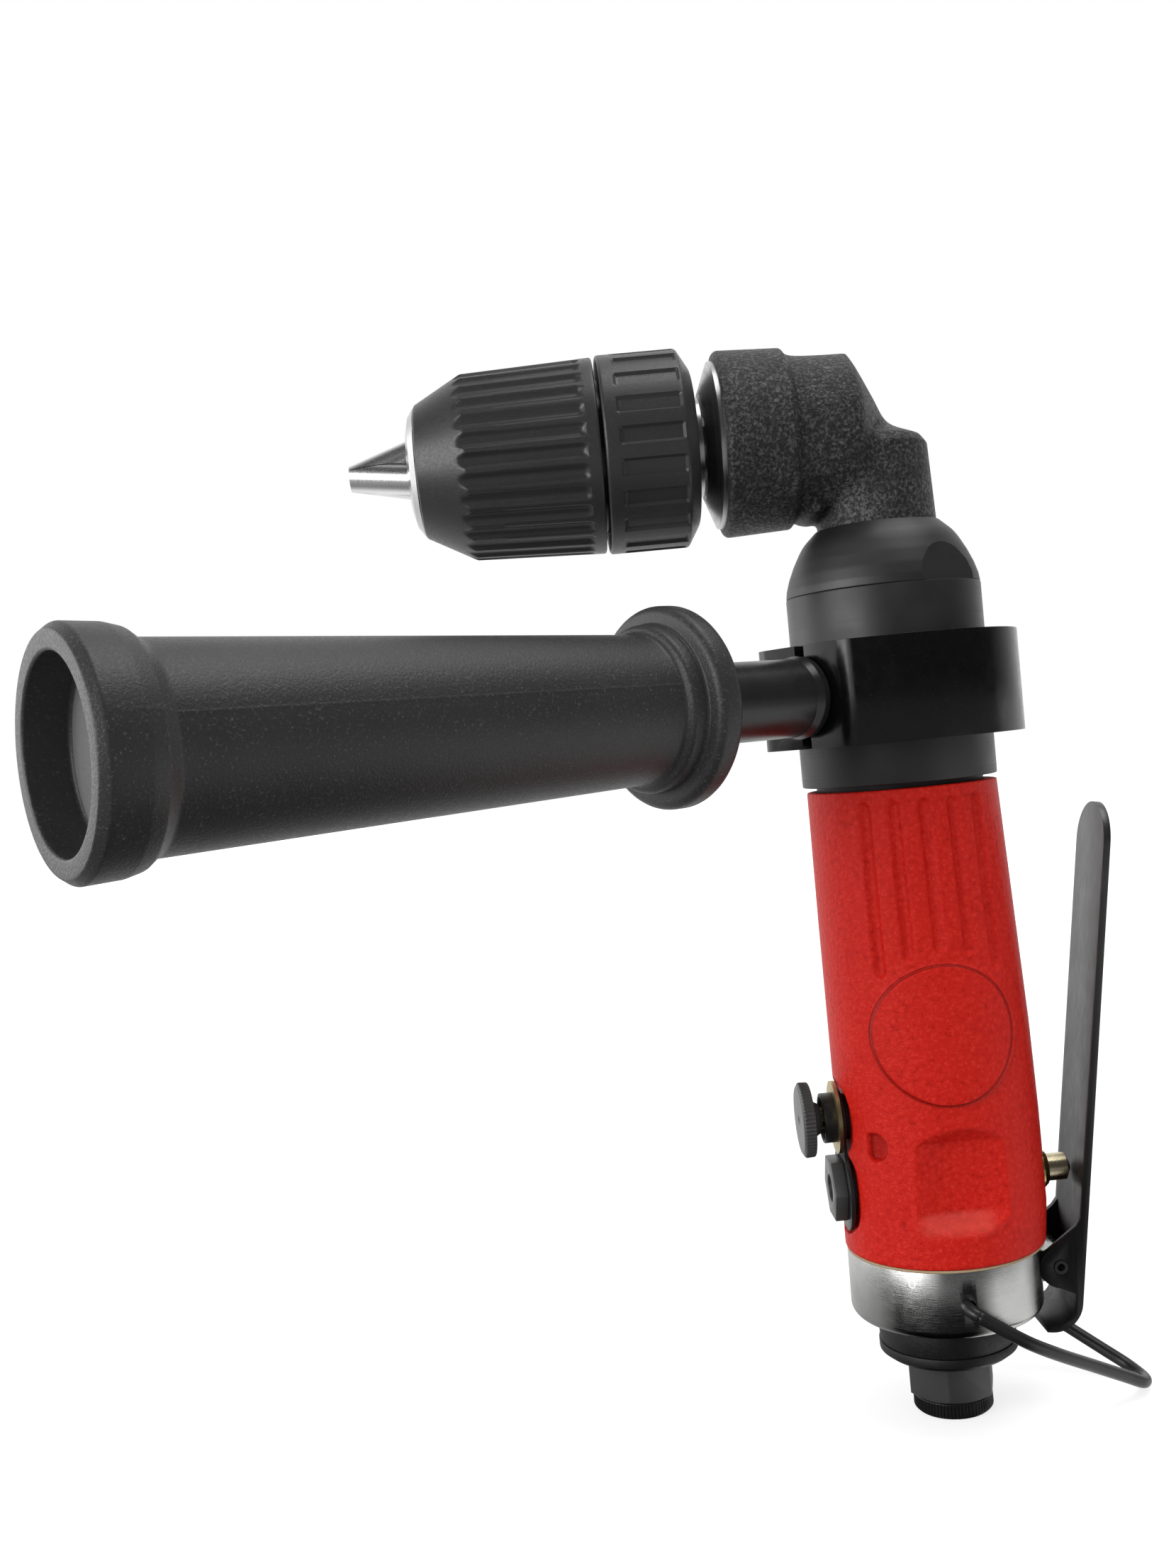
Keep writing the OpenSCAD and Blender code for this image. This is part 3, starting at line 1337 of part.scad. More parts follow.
motor_housing();
end_gasket();
rear_cap();
exhaust_ring();
exhaust_deflector();
inlet_bushing();
inlet_screen();
dust_cap();
gear_housing();
coupling_nut();
angle_head();
rear_end_plate();
motor_cylinder();
front_end_plate();
rear_rotor_bearing();
front_rotor_bearing();
rotor();
rotor_vanes();
ring_gear();
planet_carrier();
planet_pins();
planet_gear_1();
planet_gear_2();
planet_gear_3();
carrier_bearing();
bevel_pinion();
pinion_bearing();
bevel_gear();
spindle();
spindle_bearing();
tail_bushing();
bearing_cap();
chuck_body();
chuck_screw();
rear_sleeve();
front_sleeve();
chuck_nut();
jaw_1();
jaw_2();
jaw_3();
handle_clamp();
handle_rod();
side_handle();
throttle_lever();
lever_pin();
throttle_bushing();
throttle_stem();
valve_spring();
throttle_plug();
retainer_plate();
reverse_washer();
reverse_bushing();
reverse_knob();
reverse_spool();
hanging_bail();
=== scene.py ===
import json
import math

import bmesh
import bpy
from mathutils import Matrix, Vector


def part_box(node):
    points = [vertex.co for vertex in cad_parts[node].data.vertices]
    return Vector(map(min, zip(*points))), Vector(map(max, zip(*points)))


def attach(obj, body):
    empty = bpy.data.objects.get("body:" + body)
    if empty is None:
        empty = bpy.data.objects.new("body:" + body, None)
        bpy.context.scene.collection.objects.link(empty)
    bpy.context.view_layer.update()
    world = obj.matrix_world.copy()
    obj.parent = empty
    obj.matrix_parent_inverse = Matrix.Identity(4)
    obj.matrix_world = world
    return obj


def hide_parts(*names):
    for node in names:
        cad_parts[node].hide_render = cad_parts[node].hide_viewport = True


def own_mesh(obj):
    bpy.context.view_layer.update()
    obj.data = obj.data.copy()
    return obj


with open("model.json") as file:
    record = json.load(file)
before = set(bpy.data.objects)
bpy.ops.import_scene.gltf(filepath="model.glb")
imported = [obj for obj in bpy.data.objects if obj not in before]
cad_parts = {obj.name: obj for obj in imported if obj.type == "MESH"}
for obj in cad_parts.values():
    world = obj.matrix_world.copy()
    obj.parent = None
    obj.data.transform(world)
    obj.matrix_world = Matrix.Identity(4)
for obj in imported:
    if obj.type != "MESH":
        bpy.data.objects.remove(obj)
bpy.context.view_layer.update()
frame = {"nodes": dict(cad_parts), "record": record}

# Right angle air drill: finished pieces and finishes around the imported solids.
# Lengths are written in millimetres, as in the part's source. The scene is in metres.
mm = 0.001
scene = bpy.context.scene
BODY = {node: body for body, nodes in frame["record"]["behaviour"]["bodies"].items() for node in nodes}

# Axes that pieces turn about: local z runs along the axis
SPINDLE_Z = 217.0
HANDLE_Z = 159.6
HANDLE_ANGLE = 35.5
REVERSE_Z = 66.0
BAIL_Z = 28.7
BAIL_ANGLE = 33.0
UPRIGHT = Matrix.Identity(4)
TOWARDS_CHUCK = Matrix.Rotation(math.radians(-90), 4, "Y")
TOWARDS_HANDLE = Matrix.Rotation(math.radians(HANDLE_ANGLE), 4, "Z")
SPINDLE = Matrix.Translation((0, 0, SPINDLE_Z * mm)) @ TOWARDS_CHUCK
HANDLE = Matrix.Translation((0, 0, HANDLE_Z * mm)) @ TOWARDS_HANDLE @ TOWARDS_CHUCK
REVERSE = Matrix.Translation((0, 0, REVERSE_Z * mm)) @ TOWARDS_CHUCK
BAIL = Matrix.Translation((0, 0, BAIL_Z * mm)) @ Matrix.Rotation(math.radians(BAIL_ANGLE), 4, "Y")

# Red housing: the cone, its round pad, the small pocket and the lower lip of the thumb scoop
HOUSING_Z0 = 36.5
HOUSING_H = 102.1
HOUSING_R = 21.8
HOUSING_TOP_R = 20.45
PAD_PLACE = (0.8, 86.1)
PAD_R = 14.9
POCKET_PLACE = (-14.5, 62.1)
POCKET_R = 2.9
POCKET_FLAT = 1.7
POCKET_FADE = 0.2
# Width of the pocket as seen from the front, as a share of its width on the cone
POCKET_SLANT = 0.643
# Heights and half width at which the painted highlight on the scoop's lower lip is gone and at which it is
# full
LIP_FOOT = (43.0, 45.0)
LIP_TOP = (48.5, 47.3)
LIP_HALF = (9.0, 6.0)
# Rows of (height, shift, growth) by which the skin leans to the lever side
HOUSING_LEAN = (
    (30.0, 1.0, 0.0), (36.5, 1.15, 0.15), (45.0, 1.6, 0.7), (65.0, 1.75, 0.75), (85.0, 1.5, 0.8),
    (110.0, 0.9, 0.6), (138.6, 0.3, 0.3),
)
CAP_LEAN = ((21.5, 0.4, -0.5), (30.0, 0.5, -0.6), (36.5, 0.6, -0.5))
# Radius at which the skin starts to lean, and from which it leans in full
HOUSING_SKIN = (18.2, 19.6)
CAP_SKIN = (14.0, 19.0)
# Relief of grooves and pad, and of the scoop: low, high, share by which it grows, deepest
GRIP_RELIEF = (69.0, 138.4, 0.5, 1.0)
SCOOP_RELIEF = (41.0, 69.0, 0.6, 3.0)
RELIEF_HALF = 17.5
RELIEF_PROUD = 0.7
RELIEF_FADE_LOW = 3.0
RELIEF_FADE_HIGH = 0.6
# Room in the housing for the reverse spool, along its axis
SPOOL_ROOM_R = 4.2
SPOOL_ROOM = (-9.9, 12.6)

# Rear cap with its scribed mark
CAP_R = 21.6
SCRIBE_ANGLE = 30.0
SCRIBE_Z = 33.3
SCRIBE_R = 0.62

# Angle head: place of the painted highlight on the fillet, web under the barrel, and where neck and barrel
# run together
FILLET_HIGHLIGHT_PLACE = (-6.5, -12.0, 200.0)
WEB_PLACE = (-14.5, 0, 200.3)
WEB_REACH = (4.2, 9.0, 2.6)
NECK_R = 13.0
BARREL_R = 17.6
JOIN_LOW = 200.5
JOIN_BACK = 2.0
JOIN_REACH = 6.5
SADDLE_PLACE = (3.5, 218.5)
SADDLE_HALF = 9.0
SADDLE_REACH = 5.0
BLEND_FADE = 3.0

# Coupling nut
NUT_BASE = 181.7
NUT_TOP = 195.95
NUT_BORE = 18.6
NUT_LEDGE = 188.7
NUT_FLANGE = 16.2
NUT_SHELF = 192.75
NUT_NECK = 13.079
NUT_FLAT = 19.85
NUT_FLAT_ANGLE = math.radians(-57)
NUT_FLAT_LEAN = math.radians(10)

# Handle clamp: its ring, the flat boss and the cheeks beside it
CLAMP_R = 27.95
BOSS_FACE = 27.15
BOSS_HALF = 12.6
BOSS_ROUND = 2.3
CHEEK_ANGLE = math.radians(47)
CHEEK_DEPTH = 3.0
CHEEK_LAP = 2.0
CHEEK_PROUD = 0.05
# How near an edge lies to the boss's corner, and how upright it is, to be taken as one of its edges
BOSS_NEAR = 0.1
UPRIGHT_SHARE = 0.98

# Chuck body: painted black from and to here along the spindle, as shade in the gap between the sleeves
CHUCK_GAP_SHADE = (43.0, 98.0)

# Side handle, lever, knob, bail and valve spring
HANDLE_RECESS = 177.3
# Radius at which the painted light on the recess floor is gone and at which it is full
RECESS_FADE = (15.4, 14.8)
# Height of the mould's parting line, and where it starts and ends
MOULD_LINE = (0.03, 72, 178)
# Heights between which the lever goes from painted shade to its own colour
LEVER_SHADE = (42.0, 117.0)
KNOB_FOOT = 24.3
KNOB_BORE = 1.9
BAIL_WIRE_R = 1.4

# How finely pieces are made
ARC_STEP = math.radians(11)
# Most of a side that one fillet may take
FILLET_SHARE = 0.48
# Half width of a raised line, and the room it needs, in radians
RIB_HALF = 0.007
RIB_CLEAR = 0.02
ROUND_STEPS = 6
# Points nearer than this are welded
WELD = 0.004
FLAT_ANGLE = math.radians(0.4)
EDGE_ANGLE = math.radians(32)
SOFT_ANGLE = math.radians(38)
CARVED_ANGLE = math.radians(35)
FILLET_PASSES = 160
CURVE_STEPS = 5


def clamped(share):
    return max(0.0, min(1.0, share))


# Node maths
class Val:
    """A value in a node tree. Sums and products of values add their Math nodes."""

    def __init__(self, bench, socket):
        self.bench = bench
        self.socket = socket

    def __add__(self, other):
        return self.bench.maths("ADD", self, other)

    def __sub__(self, other):
        return self.bench.maths("SUBTRACT", self, other)

    def __rsub__(self, other):
        return self.bench.maths("SUBTRACT", other, self)

    def __mul__(self, other):
        return self.bench.maths("MULTIPLY", self, other)

    def __truediv__(self, other):
        return self.bench.maths("DIVIDE", self, other)

    def __rtruediv__(self, other):
        return self.bench.maths("DIVIDE", other, self)

    def __abs__(self):
        return self.bench.maths("ABSOLUTE", self)

    __radd__ = __add__
    __rmul__ = __mul__


class Bench:
    """Adds nodes to one tree."""

    def __init__(self, tree):
        self.tree = tree

    def add(self, kind, settings=None, sockets=None, out=0):
        node = self.tree.nodes.new(kind)
        for key, value in (settings or {}).items():
            setattr(node, key, value)
        for key, value in (sockets or {}).items():
            self.feed(node.inputs[key], value)
        return Val(self, node.outputs[out])

    def several(self, kind, outs, sockets=None):
        """More than one output of a node."""
        node = self.add(kind, None, sockets).socket.node
        return [Val(self, node.outputs[out]) for out in outs]

    def split(self, vector):
        return self.several("ShaderNodeSeparateXYZ", range(3), {0: vector})

    def feed(self, socket, value):
        if isinstance(value, Val):
            self.tree.links.new(value.socket, socket)
        else:
            socket.default_value = value

    def maths(self, operation, *values):
        return self.add("ShaderNodeMath", {"operation": operation}, dict(enumerate(values)))

    def lowest(self, a, b):
        return self.maths("MINIMUM", a, b)

    def highest(self, a, b):
        return self.maths("MAXIMUM", a, b)

    def length(self, a, b):
        return self.maths("SQRT", a * a + b * b)

    def spread(self, value, low, high, at_low=0.0, at_high=1.0):
        rows = {"Value": value, "From Min": low, "From Max": high, "To Min": at_low, "To Max": at_high}
        return self.add("ShaderNodeMapRange", {"clamp": True}, rows)

    def fade(self, length, gone, full):
        """None at one length and whole at the other, both in millimetres."""
        return self.spread(length, gone * mm, full * mm)


# Finishes
class Finish(Bench):
    """One procedural finish on Object coordinates, which are the part's own metres."""

    def __init__(self, name, colour, rough, metal=0.0, **plain):
        self.material = bpy.data.materials.new(name)
        self.material.use_nodes = True
        super().__init__(self.material.node_tree)
        self.shader = self.tree.nodes["Principled BSDF"]
        self.place = self.add("ShaderNodeTexCoord", out="Object")
        self.set("Base Color", (*colour, 1.0))
        self.set("Roughness", rough)
        self.set("Metallic", metal)
        for key, value in plain.items():
            self.set(key.replace("_", " "), value)

    def set(self, socket, value):
        self.feed(self.shader.inputs[socket], value)

    def vector(self, operation, *values, out=0):
        return self.add("ShaderNodeVectorMath", {"operation": operation}, dict(enumerate(values)), out)

    def noise(self, size, detail=2.0, stretch=None, gain=0.5, twist=0.0):
        """Cloudy noise. The size of its lumps is in millimetres."""
        rows = {
            "Vector": self.vector("MULTIPLY", self.place, stretch) if stretch else self.place,
            "Scale": 1 / (size * mm), "Detail": detail, "Roughness": gain, "Distortion": twist,
        }
        return self.add("ShaderNodeTexNoise", {"noise_dimensions": "3D"}, rows)

    def cells(self, size):
        rows = {"Vector": self.place, "Scale": 1 / (size * mm)}
        return self.add("ShaderNodeTexVoronoi", {"feature": "SMOOTH_F1"}, rows)

    def tint(self, share, at_zero, at_one):
        """Mixes two colours. 6 and 7 are the Mix node's colour sockets, and 2 is its colour output."""
        rows = {0: share}
        for key, colour in ((6, at_zero), (7, at_one)):
            rows[key] = colour if isinstance(colour, Val) else (*colour, 1.0)
        return self.add("ShaderNodeMix", {"data_type": "RGBA"}, rows, 2)

    def relief(self, height, depth):
        rows = {"Strength": 1.0, "Distance": depth * mm, "Height": height}
        self.set("Normal", self.add("ShaderNodeBump", None, rows))

    def axis(self, frame_of_axis):
        """Distance along an axis and distance from it, both in metres."""
        along = tuple((frame_of_axis.to_3x3() @ Vector((0, 0, 1))).normalized())
        offset = self.vector("SUBTRACT", self.place, tuple(frame_of_axis.translation))
        run = self.vector("DOT_PRODUCT", offset, along, out="Value")
        across = self.vector("CROSS_PRODUCT", offset, along)
        return run, self.vector("LENGTH", across, out="Value")

    def away(self, a, b, place):
        """Distance in a flat view from a place given in millimetres."""
        return self.length(a - place[0] * mm, b - place[1] * mm)

    def turned(self, frame_of_axis, pitch):
        """Lathe lines round an axis, on its faces and its sides alike."""
        run, radius = self.axis(frame_of_axis)
        line = self.add("ShaderNodeCombineXYZ", None, {0: run, 1: radius})
        rows = {"Vector": line, "Scale": 1 / (pitch * mm), "Detail": 3.0, "Roughness": 0.6}
        return self.add("ShaderNodeTexNoise", {"noise_dimensions": "2D"}, rows)


def red_textured_paint():
    f = Finish("red_textured_paint", (0.6, 0.01, 0.005), 0.45, Specular_IOR_Level=0.18)
    lumps = f.cells(1.0)
    fine = f.noise(0.45, detail=3.0, gain=0.65)
    height = fine * 0.8 + (1 - lumps) * 0.55
    cloud = f.noise(14)
    # Painted highlight on the raised grain, and painted shade in its hollows
    light = f.spread(height, 0.72, 1.05)
    body = f.tint(cloud, (0.54, 0.008, 0.0032), (0.61, 0.0105, 0.004))
    grain_painted_shade = f.tint(f.spread(height, 0.62, 0.45), body, (0.4, 0.004, 0.002))
    skin = f.tint(light, grain_painted_shade, (0.7, 0.03, 0.018))
    x, y, z = f.split(f.place)
    front = f.fade(y * -1, 0, 4)
    # Painted shade: a dark line along the pad's edge, and shade painted into the pocket with its one flat
    # side
    line = f.fade(abs(f.away(x, z, PAD_PLACE) - PAD_R * mm), 0.34, 0.12)
    along = (x - POCKET_PLACE[0] * mm) / POCKET_SLANT
    from_pocket = f.away(along, z, (0, POCKET_PLACE[1]))
    round_side = f.fade(from_pocket, POCKET_R + POCKET_FADE, POCKET_R - POCKET_FADE)
    flat_side = f.fade(along, -POCKET_FLAT - POCKET_FADE, -POCKET_FLAT + POCKET_FADE)
    pocket = round_side * flat_side * front
    # Painted highlight on the lower lip of the thumb scoop, whose face turns up to the top light
    lip = f.fade(z, *LIP_TOP) * f.fade(z, *LIP_FOOT) * f.fade(abs(x), *LIP_HALF)
    skin = f.tint(lip * front * 0.3, skin, (0.66, 0.12, 0.09))
    f.set("Base Color", f.tint(line * 0.55 + pocket * 0.45, skin, (0.14, 0.002, 0.001)))
    f.set("Roughness", f.spread(fine, 0.3, 0.7, 0.36, 0.52))
    f.relief(height - line * 1.5, 0.2)
    return f.material


def turned_aluminium():
    f = Finish("turned_aluminium", (0.6, 0.6, 0.59), 0.3, 1.0)
    lines = f.turned(UPRIGHT, 0.16)
    smear = f.noise(5, detail=4.0)
    # A small scribed U below the gasket, left of the middle as the photograph has it
    x, y, z = f.split(f.place)
    across = (f.maths("ARCTAN2", x, y * -1) + math.radians(SCRIBE_ANGLE)) * (CAP_R * mm)
    below = f.lowest(z - SCRIBE_Z * mm, 0.0)
    scribe = f.fade(abs(f.length(across, below) - SCRIBE_R * mm), 0.16, 0.06) * f.fade(y * -1, 0, 1)
    body = f.tint(smear, (0.44, 0.44, 0.435), (0.6, 0.6, 0.59))
    f.set("Base Color", f.tint(scribe, body, (0.9, 0.9, 0.9)))
    f.set("Roughness", f.spread(lines + smear * 0.5, 0.4, 1.0, 0.16, 0.28) + scribe * 0.25)
    f.relief(lines, 0.014)
    return f.material


def wrinkle_black():
    f = Finish("wrinkle_black_paint", (0.012, 0.012, 0.0125), 0.5)
    grain = f.noise(0.75, detail=3.0, gain=0.62, twist=0.5)
    wide = f.noise(7)
    # Painted highlight on the fillet where neck and barrel meet
    far = f.vector("DISTANCE", f.place, tuple(v * mm for v in FILLET_HIGHLIGHT_PLACE), out="Value")
    painted_fillet_highlight = f.fade(far, 7.0, 2.5) * f.spread(grain, 0.42, 0.6)
    body = f.tint(wide, (0.006, 0.006, 0.0063), (0.011, 0.011, 0.0114))
    # Pale specks are painted glints on the crests of the wrinkle grain
    specks = f.spread(grain, 0.47, 0.7) * f.spread(wide, 0.25, 0.6, 0.55, 1.0)
    speck_glints = f.tint(specks, body, (0.1, 0.1, 0.101))
    f.set("Base Color", f.tint(painted_fillet_highlight * 0.5, speck_glints, (0.14, 0.14, 0.14)))
    f.set("Roughness", f.spread(grain, 0.3, 0.7, 0.6, 0.4))
    f.relief(grain, 0.5)
    return f.material


def satin_black(name, axis, level, rough, gloss=0.5):
    """Blackened steel with fine lathe lines."""
    f = Finish(name, (level, level, level * 1.04), rough, Specular_IOR_Level=gloss)
    lines = f.turned(axis, 0.14)
    cloud = f.noise(6, detail=3.0)
    f.set("Base Color", f.tint(cloud, [level * 0.75] * 3, [level * 1.3] * 3))
    f.set("Roughness", f.spread(lines * 0.5 + cloud * 0.5, 0.3, 0.7, rough - 0.07, rough + 0.07))
    f.relief(lines, 0.006)
    return f.material


def gloss_black():
    f = Finish("gloss_black_enamel", (0.004, 0.004, 0.0042), 0.2, Specular_IOR_Level=0.38)
    peel = f.noise(2.4, detail=1.0)
    dust = f.spread(f.noise(0.35, detail=1.0), 0.66, 0.78)
    f.set("Base Color", f.tint(dust, (0.0035, 0.0035, 0.0038), (0.014, 0.014, 0.014)))
    f.set("Roughness", f.spread(peel, 0.3, 0.7, 0.17, 0.25))
    f.relief(peel, 0.02)
    return f.material


def moulded_black(name, level, rough, depth, sparkle, recess=None):
    """Moulded plastic with a fine spark-eroded skin. The floor of the handle's end recess has painted light
    on it.
    """
    f = Finish(name, (level, level, level), rough, Specular_IOR_Level=0.5)
    skin = f.noise(0.5, gain=0.6)
    cloud = f.noise(16, detail=3.0)
    base = f.tint(cloud, [level * 0.8] * 3, [level * 1.2] * 3)
    colour = f.tint(f.spread(skin, 0.6, 0.76) * sparkle, base, [level * 3.2] * 3)
    if recess:
        # Painted light on the floor of the end recess
        run, radius = f.axis(HANDLE)
        pale = f.fade(abs(run - recess * mm), 0.5, 0.3) * f.fade(radius, *RECESS_FADE)
        colour = f.tint(pale, colour, (0.17, 0.17, 0.175))
    f.set("Base Color", colour)
    f.set("Roughness", f.spread(skin, 0.3, 0.7, rough - 0.08, rough + 0.08))
    f.relief(skin, depth)
    return f.material


def bright_steel(name, axis, level, rough, dark=None):
    """Ground steel. Between the two dark distances along the axis it is painted black, as shade where it
    shows through a gap.
    """
    f = Finish(name, (level, level, level), rough, 1.0)
    lines = f.turned(axis, 0.12)
    cloud = f.noise(4, detail=3.0)
    colour = f.tint(cloud, [level * 0.86] * 3, [min(level * 1.12, 1.0)] * 3)
    if dark:
        low, high = dark
        run = f.axis(axis)[0]
        # Painted shade: the steel seen through the gap between the chuck sleeves
        black = f.fade(run, low, low + 0.2) * f.fade(run, high + 0.2, high)
        colour = f.tint(black, colour, (0.008, 0.008, 0.008))
        f.set("Metallic", 1 - black)
    f.set("Base Color", colour)
    f.set("Roughness", f.spread(lines, 0.3, 0.7, rough - 0.07, rough + 0.09))
    f.relief(lines, 0.01)
    return f.material


def oiled_steel(name, level, rough, metal=0.9, shade=None):
    """Blackened or oiled plain steel, brushed lengthways. It is painted darker at the lower shade height,
    as shade and a dark reflection.
    """
    f = Finish(name, (level, level, level * 1.03), rough, metal)
    brush = f.noise(0.5, detail=3.0, stretch=(1, 1, 0.06))
    cloud = f.noise(8, detail=3.0)
    colour = f.tint(cloud, [level * 0.8] * 3, [level * 1.25] * 3)
    # Painted shade and dark reflection on the lower part
    if shade:
        height = f.split(f.place)[2]
        colour = f.tint(f.fade(height, *shade), [level * 0.25] * 3, colour)
    f.set("Base Color", colour)
    f.set("Roughness", f.spread(brush * 0.6 + cloud * 0.4, 0.3, 0.7, rough - 0.08, rough + 0.1))
    f.relief(brush, 0.008)
    return f.material


def yellow_metal(name, dull, clear, rough):
    """Turned brass or yellow plating, between a dull and a clear colour."""
    f = Finish(name, clear, rough, 1.0)
    lines = f.noise(0.2)
    f.set("Base Color", f.tint(f.noise(3), dull, clear))
    f.set("Roughness", f.spread(lines, 0.3, 0.7, rough - 0.07, rough + 0.09))
    f.relief(lines, 0.008)
    return f.material


def gasket_paper():
    f = Finish("gasket_paper", (0.44, 0.32, 0.18), 0.85)
    fibre = f.noise(0.4, detail=4.0)
    f.set("Base Color", f.tint(fibre, (0.34, 0.24, 0.13), (0.52, 0.4, 0.25)))
    f.relief(fibre, 0.05)
    return f.material


def vane_resin():
    f = Finish("vane_resin", (0.12, 0.05, 0.02), 0.55)
    weave = f.noise(0.6, detail=3.0)
    f.set("Base Color", f.tint(weave, (0.09, 0.035, 0.015), (0.16, 0.075, 0.035)))
    f.relief(weave, 0.03)
    return f.material


# Finishes in use
RED = red_textured_paint()
ALUMINIUM = turned_aluminium()
WRINKLE = wrinkle_black()
GEAR_BLACK = satin_black("satin_black_steel", UPRIGHT, level=0.018, rough=0.42)
NUT_BLACK = satin_black("nut_black_steel", UPRIGHT, level=0.01, rough=0.5, gloss=0.8)
CLAMP_BLACK = gloss_black()
GRIP_BLACK = moulded_black(
    "grip_plastic", level=0.027, rough=0.45, depth=0.09, sparkle=1.0, recess=HANDLE_RECESS,
)
CHUCK_BLACK = moulded_black("chuck_plastic", level=0.028, rough=0.38, depth=0.02, sparkle=0.15)
ROD_BLACK = satin_black("rod_black_steel", HANDLE, level=0.016, rough=0.3)
JAW_STEEL = bright_steel("bright_jaw_steel", SPINDLE, level=0.8, rough=0.26)
CHUCK_STEEL = bright_steel("bright_chuck_steel", SPINDLE, level=0.5, rough=0.24, dark=CHUCK_GAP_SHADE)
CAP_STEEL = bright_steel("bearing_cap_steel", SPINDLE, level=0.5, rough=0.3)
PLAIN_STEEL = bright_steel("bright_steel", UPRIGHT, level=0.6, rough=0.28)
GEAR_STEEL = oiled_steel("oiled_gear_steel", level=0.25, rough=0.34)
LEVER_STEEL = oiled_steel("lever_black_steel", level=0.11, rough=0.38, shade=LEVER_SHADE)
FITTING_BLACK = oiled_steel("fitting_black_steel", level=0.02, rough=0.34, metal=0.3)
KNOB_BLACK = oiled_steel("knob_black_steel", level=0.065, rough=0.34, metal=0.2)
EXHAUST_BLACK = moulded_black("exhaust_plastic", level=0.007, rough=0.5, depth=0.03, sparkle=0.1)
BRASS = yellow_metal("turned_brass", dull=(0.66, 0.46, 0.17), clear=(0.8, 0.62, 0.3), rough=0.25)
PALE_BRASS = yellow_metal("pale_brass", dull=(0.6, 0.52, 0.33), clear=(0.76, 0.68, 0.48), rough=0.28)
ZINC = yellow_metal("yellow_zinc_plate", dull=(0.46, 0.37, 0.18), clear=(0.62, 0.52, 0.3), rough=0.4)
PAPER = gasket_paper()
RESIN = vane_resin()


# Shaping
def placed(name, data):
    """A new object in the scene."""
    piece = bpy.data.objects.new(name, data)
    scene.collection.objects.link(piece)
    return piece


def settle(piece):
    """Turns what the modifiers make into a plain mesh and drops the modifiers."""
    graph = bpy.context.evaluated_depsgraph_get()
    made = bpy.data.meshes.new_from_object(piece.evaluated_get(graph))
    piece.modifiers.clear()
    rough = piece.data
    piece.data = made
    bpy.data.meshes.remove(rough)
    return piece


def opened(mesh):
    """A mesh opened for editing."""
    shape = bmesh.new()
    shape.from_mesh(mesh)
    return shape


def closed(shape, mesh):
    """Writes an edited shape to a mesh."""
    shape.to_mesh(mesh)
    shape.free()
    return mesh


def put_out(name, mesh, finish, sharp=40):
    """A new object at the origin with smooth faces and crisp edges."""
    mesh.materials.clear()
    mesh.materials.append(finish)
    mesh.shade_smooth()
    mesh.set_sharp_from_angle(angle=math.radians(sharp))
    return placed(name, mesh)


def seat(piece, node):
    """The piece takes the place of a solid, on its body."""
    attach(piece, BODY[node])
    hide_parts(node)
    return piece


def rounded(corners):
    """Corners (along, radius, fillet) made a profile with round corners."""
    line = []
    for i, (s, r, fillet) in enumerate(corners):
        here = Vector((s, r))
        if fillet == 0 or i in (0, len(corners) - 1):
            line.append((s, r))
            continue
        back = Vector(corners[i - 1][:2]) - here
        ahead = Vector(corners[i + 1][:2]) - here
        half = back.angle(ahead) / 2
        reach = min(fillet / math.tan(half), FILLET_SHARE * back.length, FILLET_SHARE * ahead.length)
        start = here + back.normalized() * reach
        end = here + ahead.normalized() * reach
        middle = here + (back.normalized() + ahead.normalized()).normalized() * reach / math.cos(half)
        first = math.atan2(*(start - middle).yx)
        swing = (math.atan2(*(end - middle).yx) - first + math.pi) % (2 * math.pi) - math.pi
        radius = (start - middle).length
        steps = max(3, round(abs(swing) / ARC_STEP))
        for k in range(steps + 1):
            a = first + swing * k / steps
            line.append((middle.x + radius * math.cos(a), middle.y + radius * math.sin(a)))
    return line


def filled(line, gap):
    """The same profile with points at most a gap apart."""
    out = [line[0]]
    for (s0, r0), (s1, r1) in zip(line, line[1:]):
        count = max(1, math.ceil(math.hypot(s1 - s0, r1 - r0) / gap))
        out += [(s0 + (s1 - s0) * k / count, r0 + (r1 - r0) * k / count) for k in range(1, count + 1)]
    return out


def lathe(name, line, steps, loop=False, ribs=()):
    """Turns a profile about local z. A loop joins its end to its start.
    Ribs are thin raised lines (angle, height, from, to)."""
    whole = 2 * math.pi
    angles = [whole * i / steps for i in range(steps)]
    lift = {}
    for angle, height, low, high in ribs:
        a = math.radians(angle)
        angles = [b for b in angles if abs((b - a + math.pi) % whole - math.pi) > RIB_CLEAR]
        angles += [(a + d * RIB_HALF) % whole for d in (-2, -1, 1, 2)]
        lift.update({round((a + d * RIB_HALF) % whole, 6): (height, low, high) for d in (-1, 1)})
    angles.sort()
    shape = bmesh.new()
    rings = []
    for s, r in line:
        if r < 1e-6:
            rings.append([shape.verts.new((0, 0, s * mm))])
            continue
        ring = []
        for a in angles:
            height, low, high = lift.get(round(a, 6), (0, 0, 0))
            out = (r + (height if low <= s <= high else 0)) * mm
            ring.append(shape.verts.new((out * math.cos(a), out * math.sin(a), s * mm)))
        rings.append(ring)
    pairs = list(zip(rings, rings[1:]))
    if loop:
        pairs.append((rings[-1], rings[0]))
    for a, b in pairs:
        for i in range(len(angles)):
            j = (i + 1) % len(angles)
            if len(a) == 1:
                shape.faces.new((a[0], b[j], b[i]))
            elif len(b) == 1:
                shape.faces.new((a[i], a[j], b[0]))
            else:
                shape.faces.new((a[i], a[j], b[j], b[i]))
    bmesh.ops.recalc_face_normals(shape, faces=shape.faces)
    return closed(shape, bpy.data.meshes.new(name))


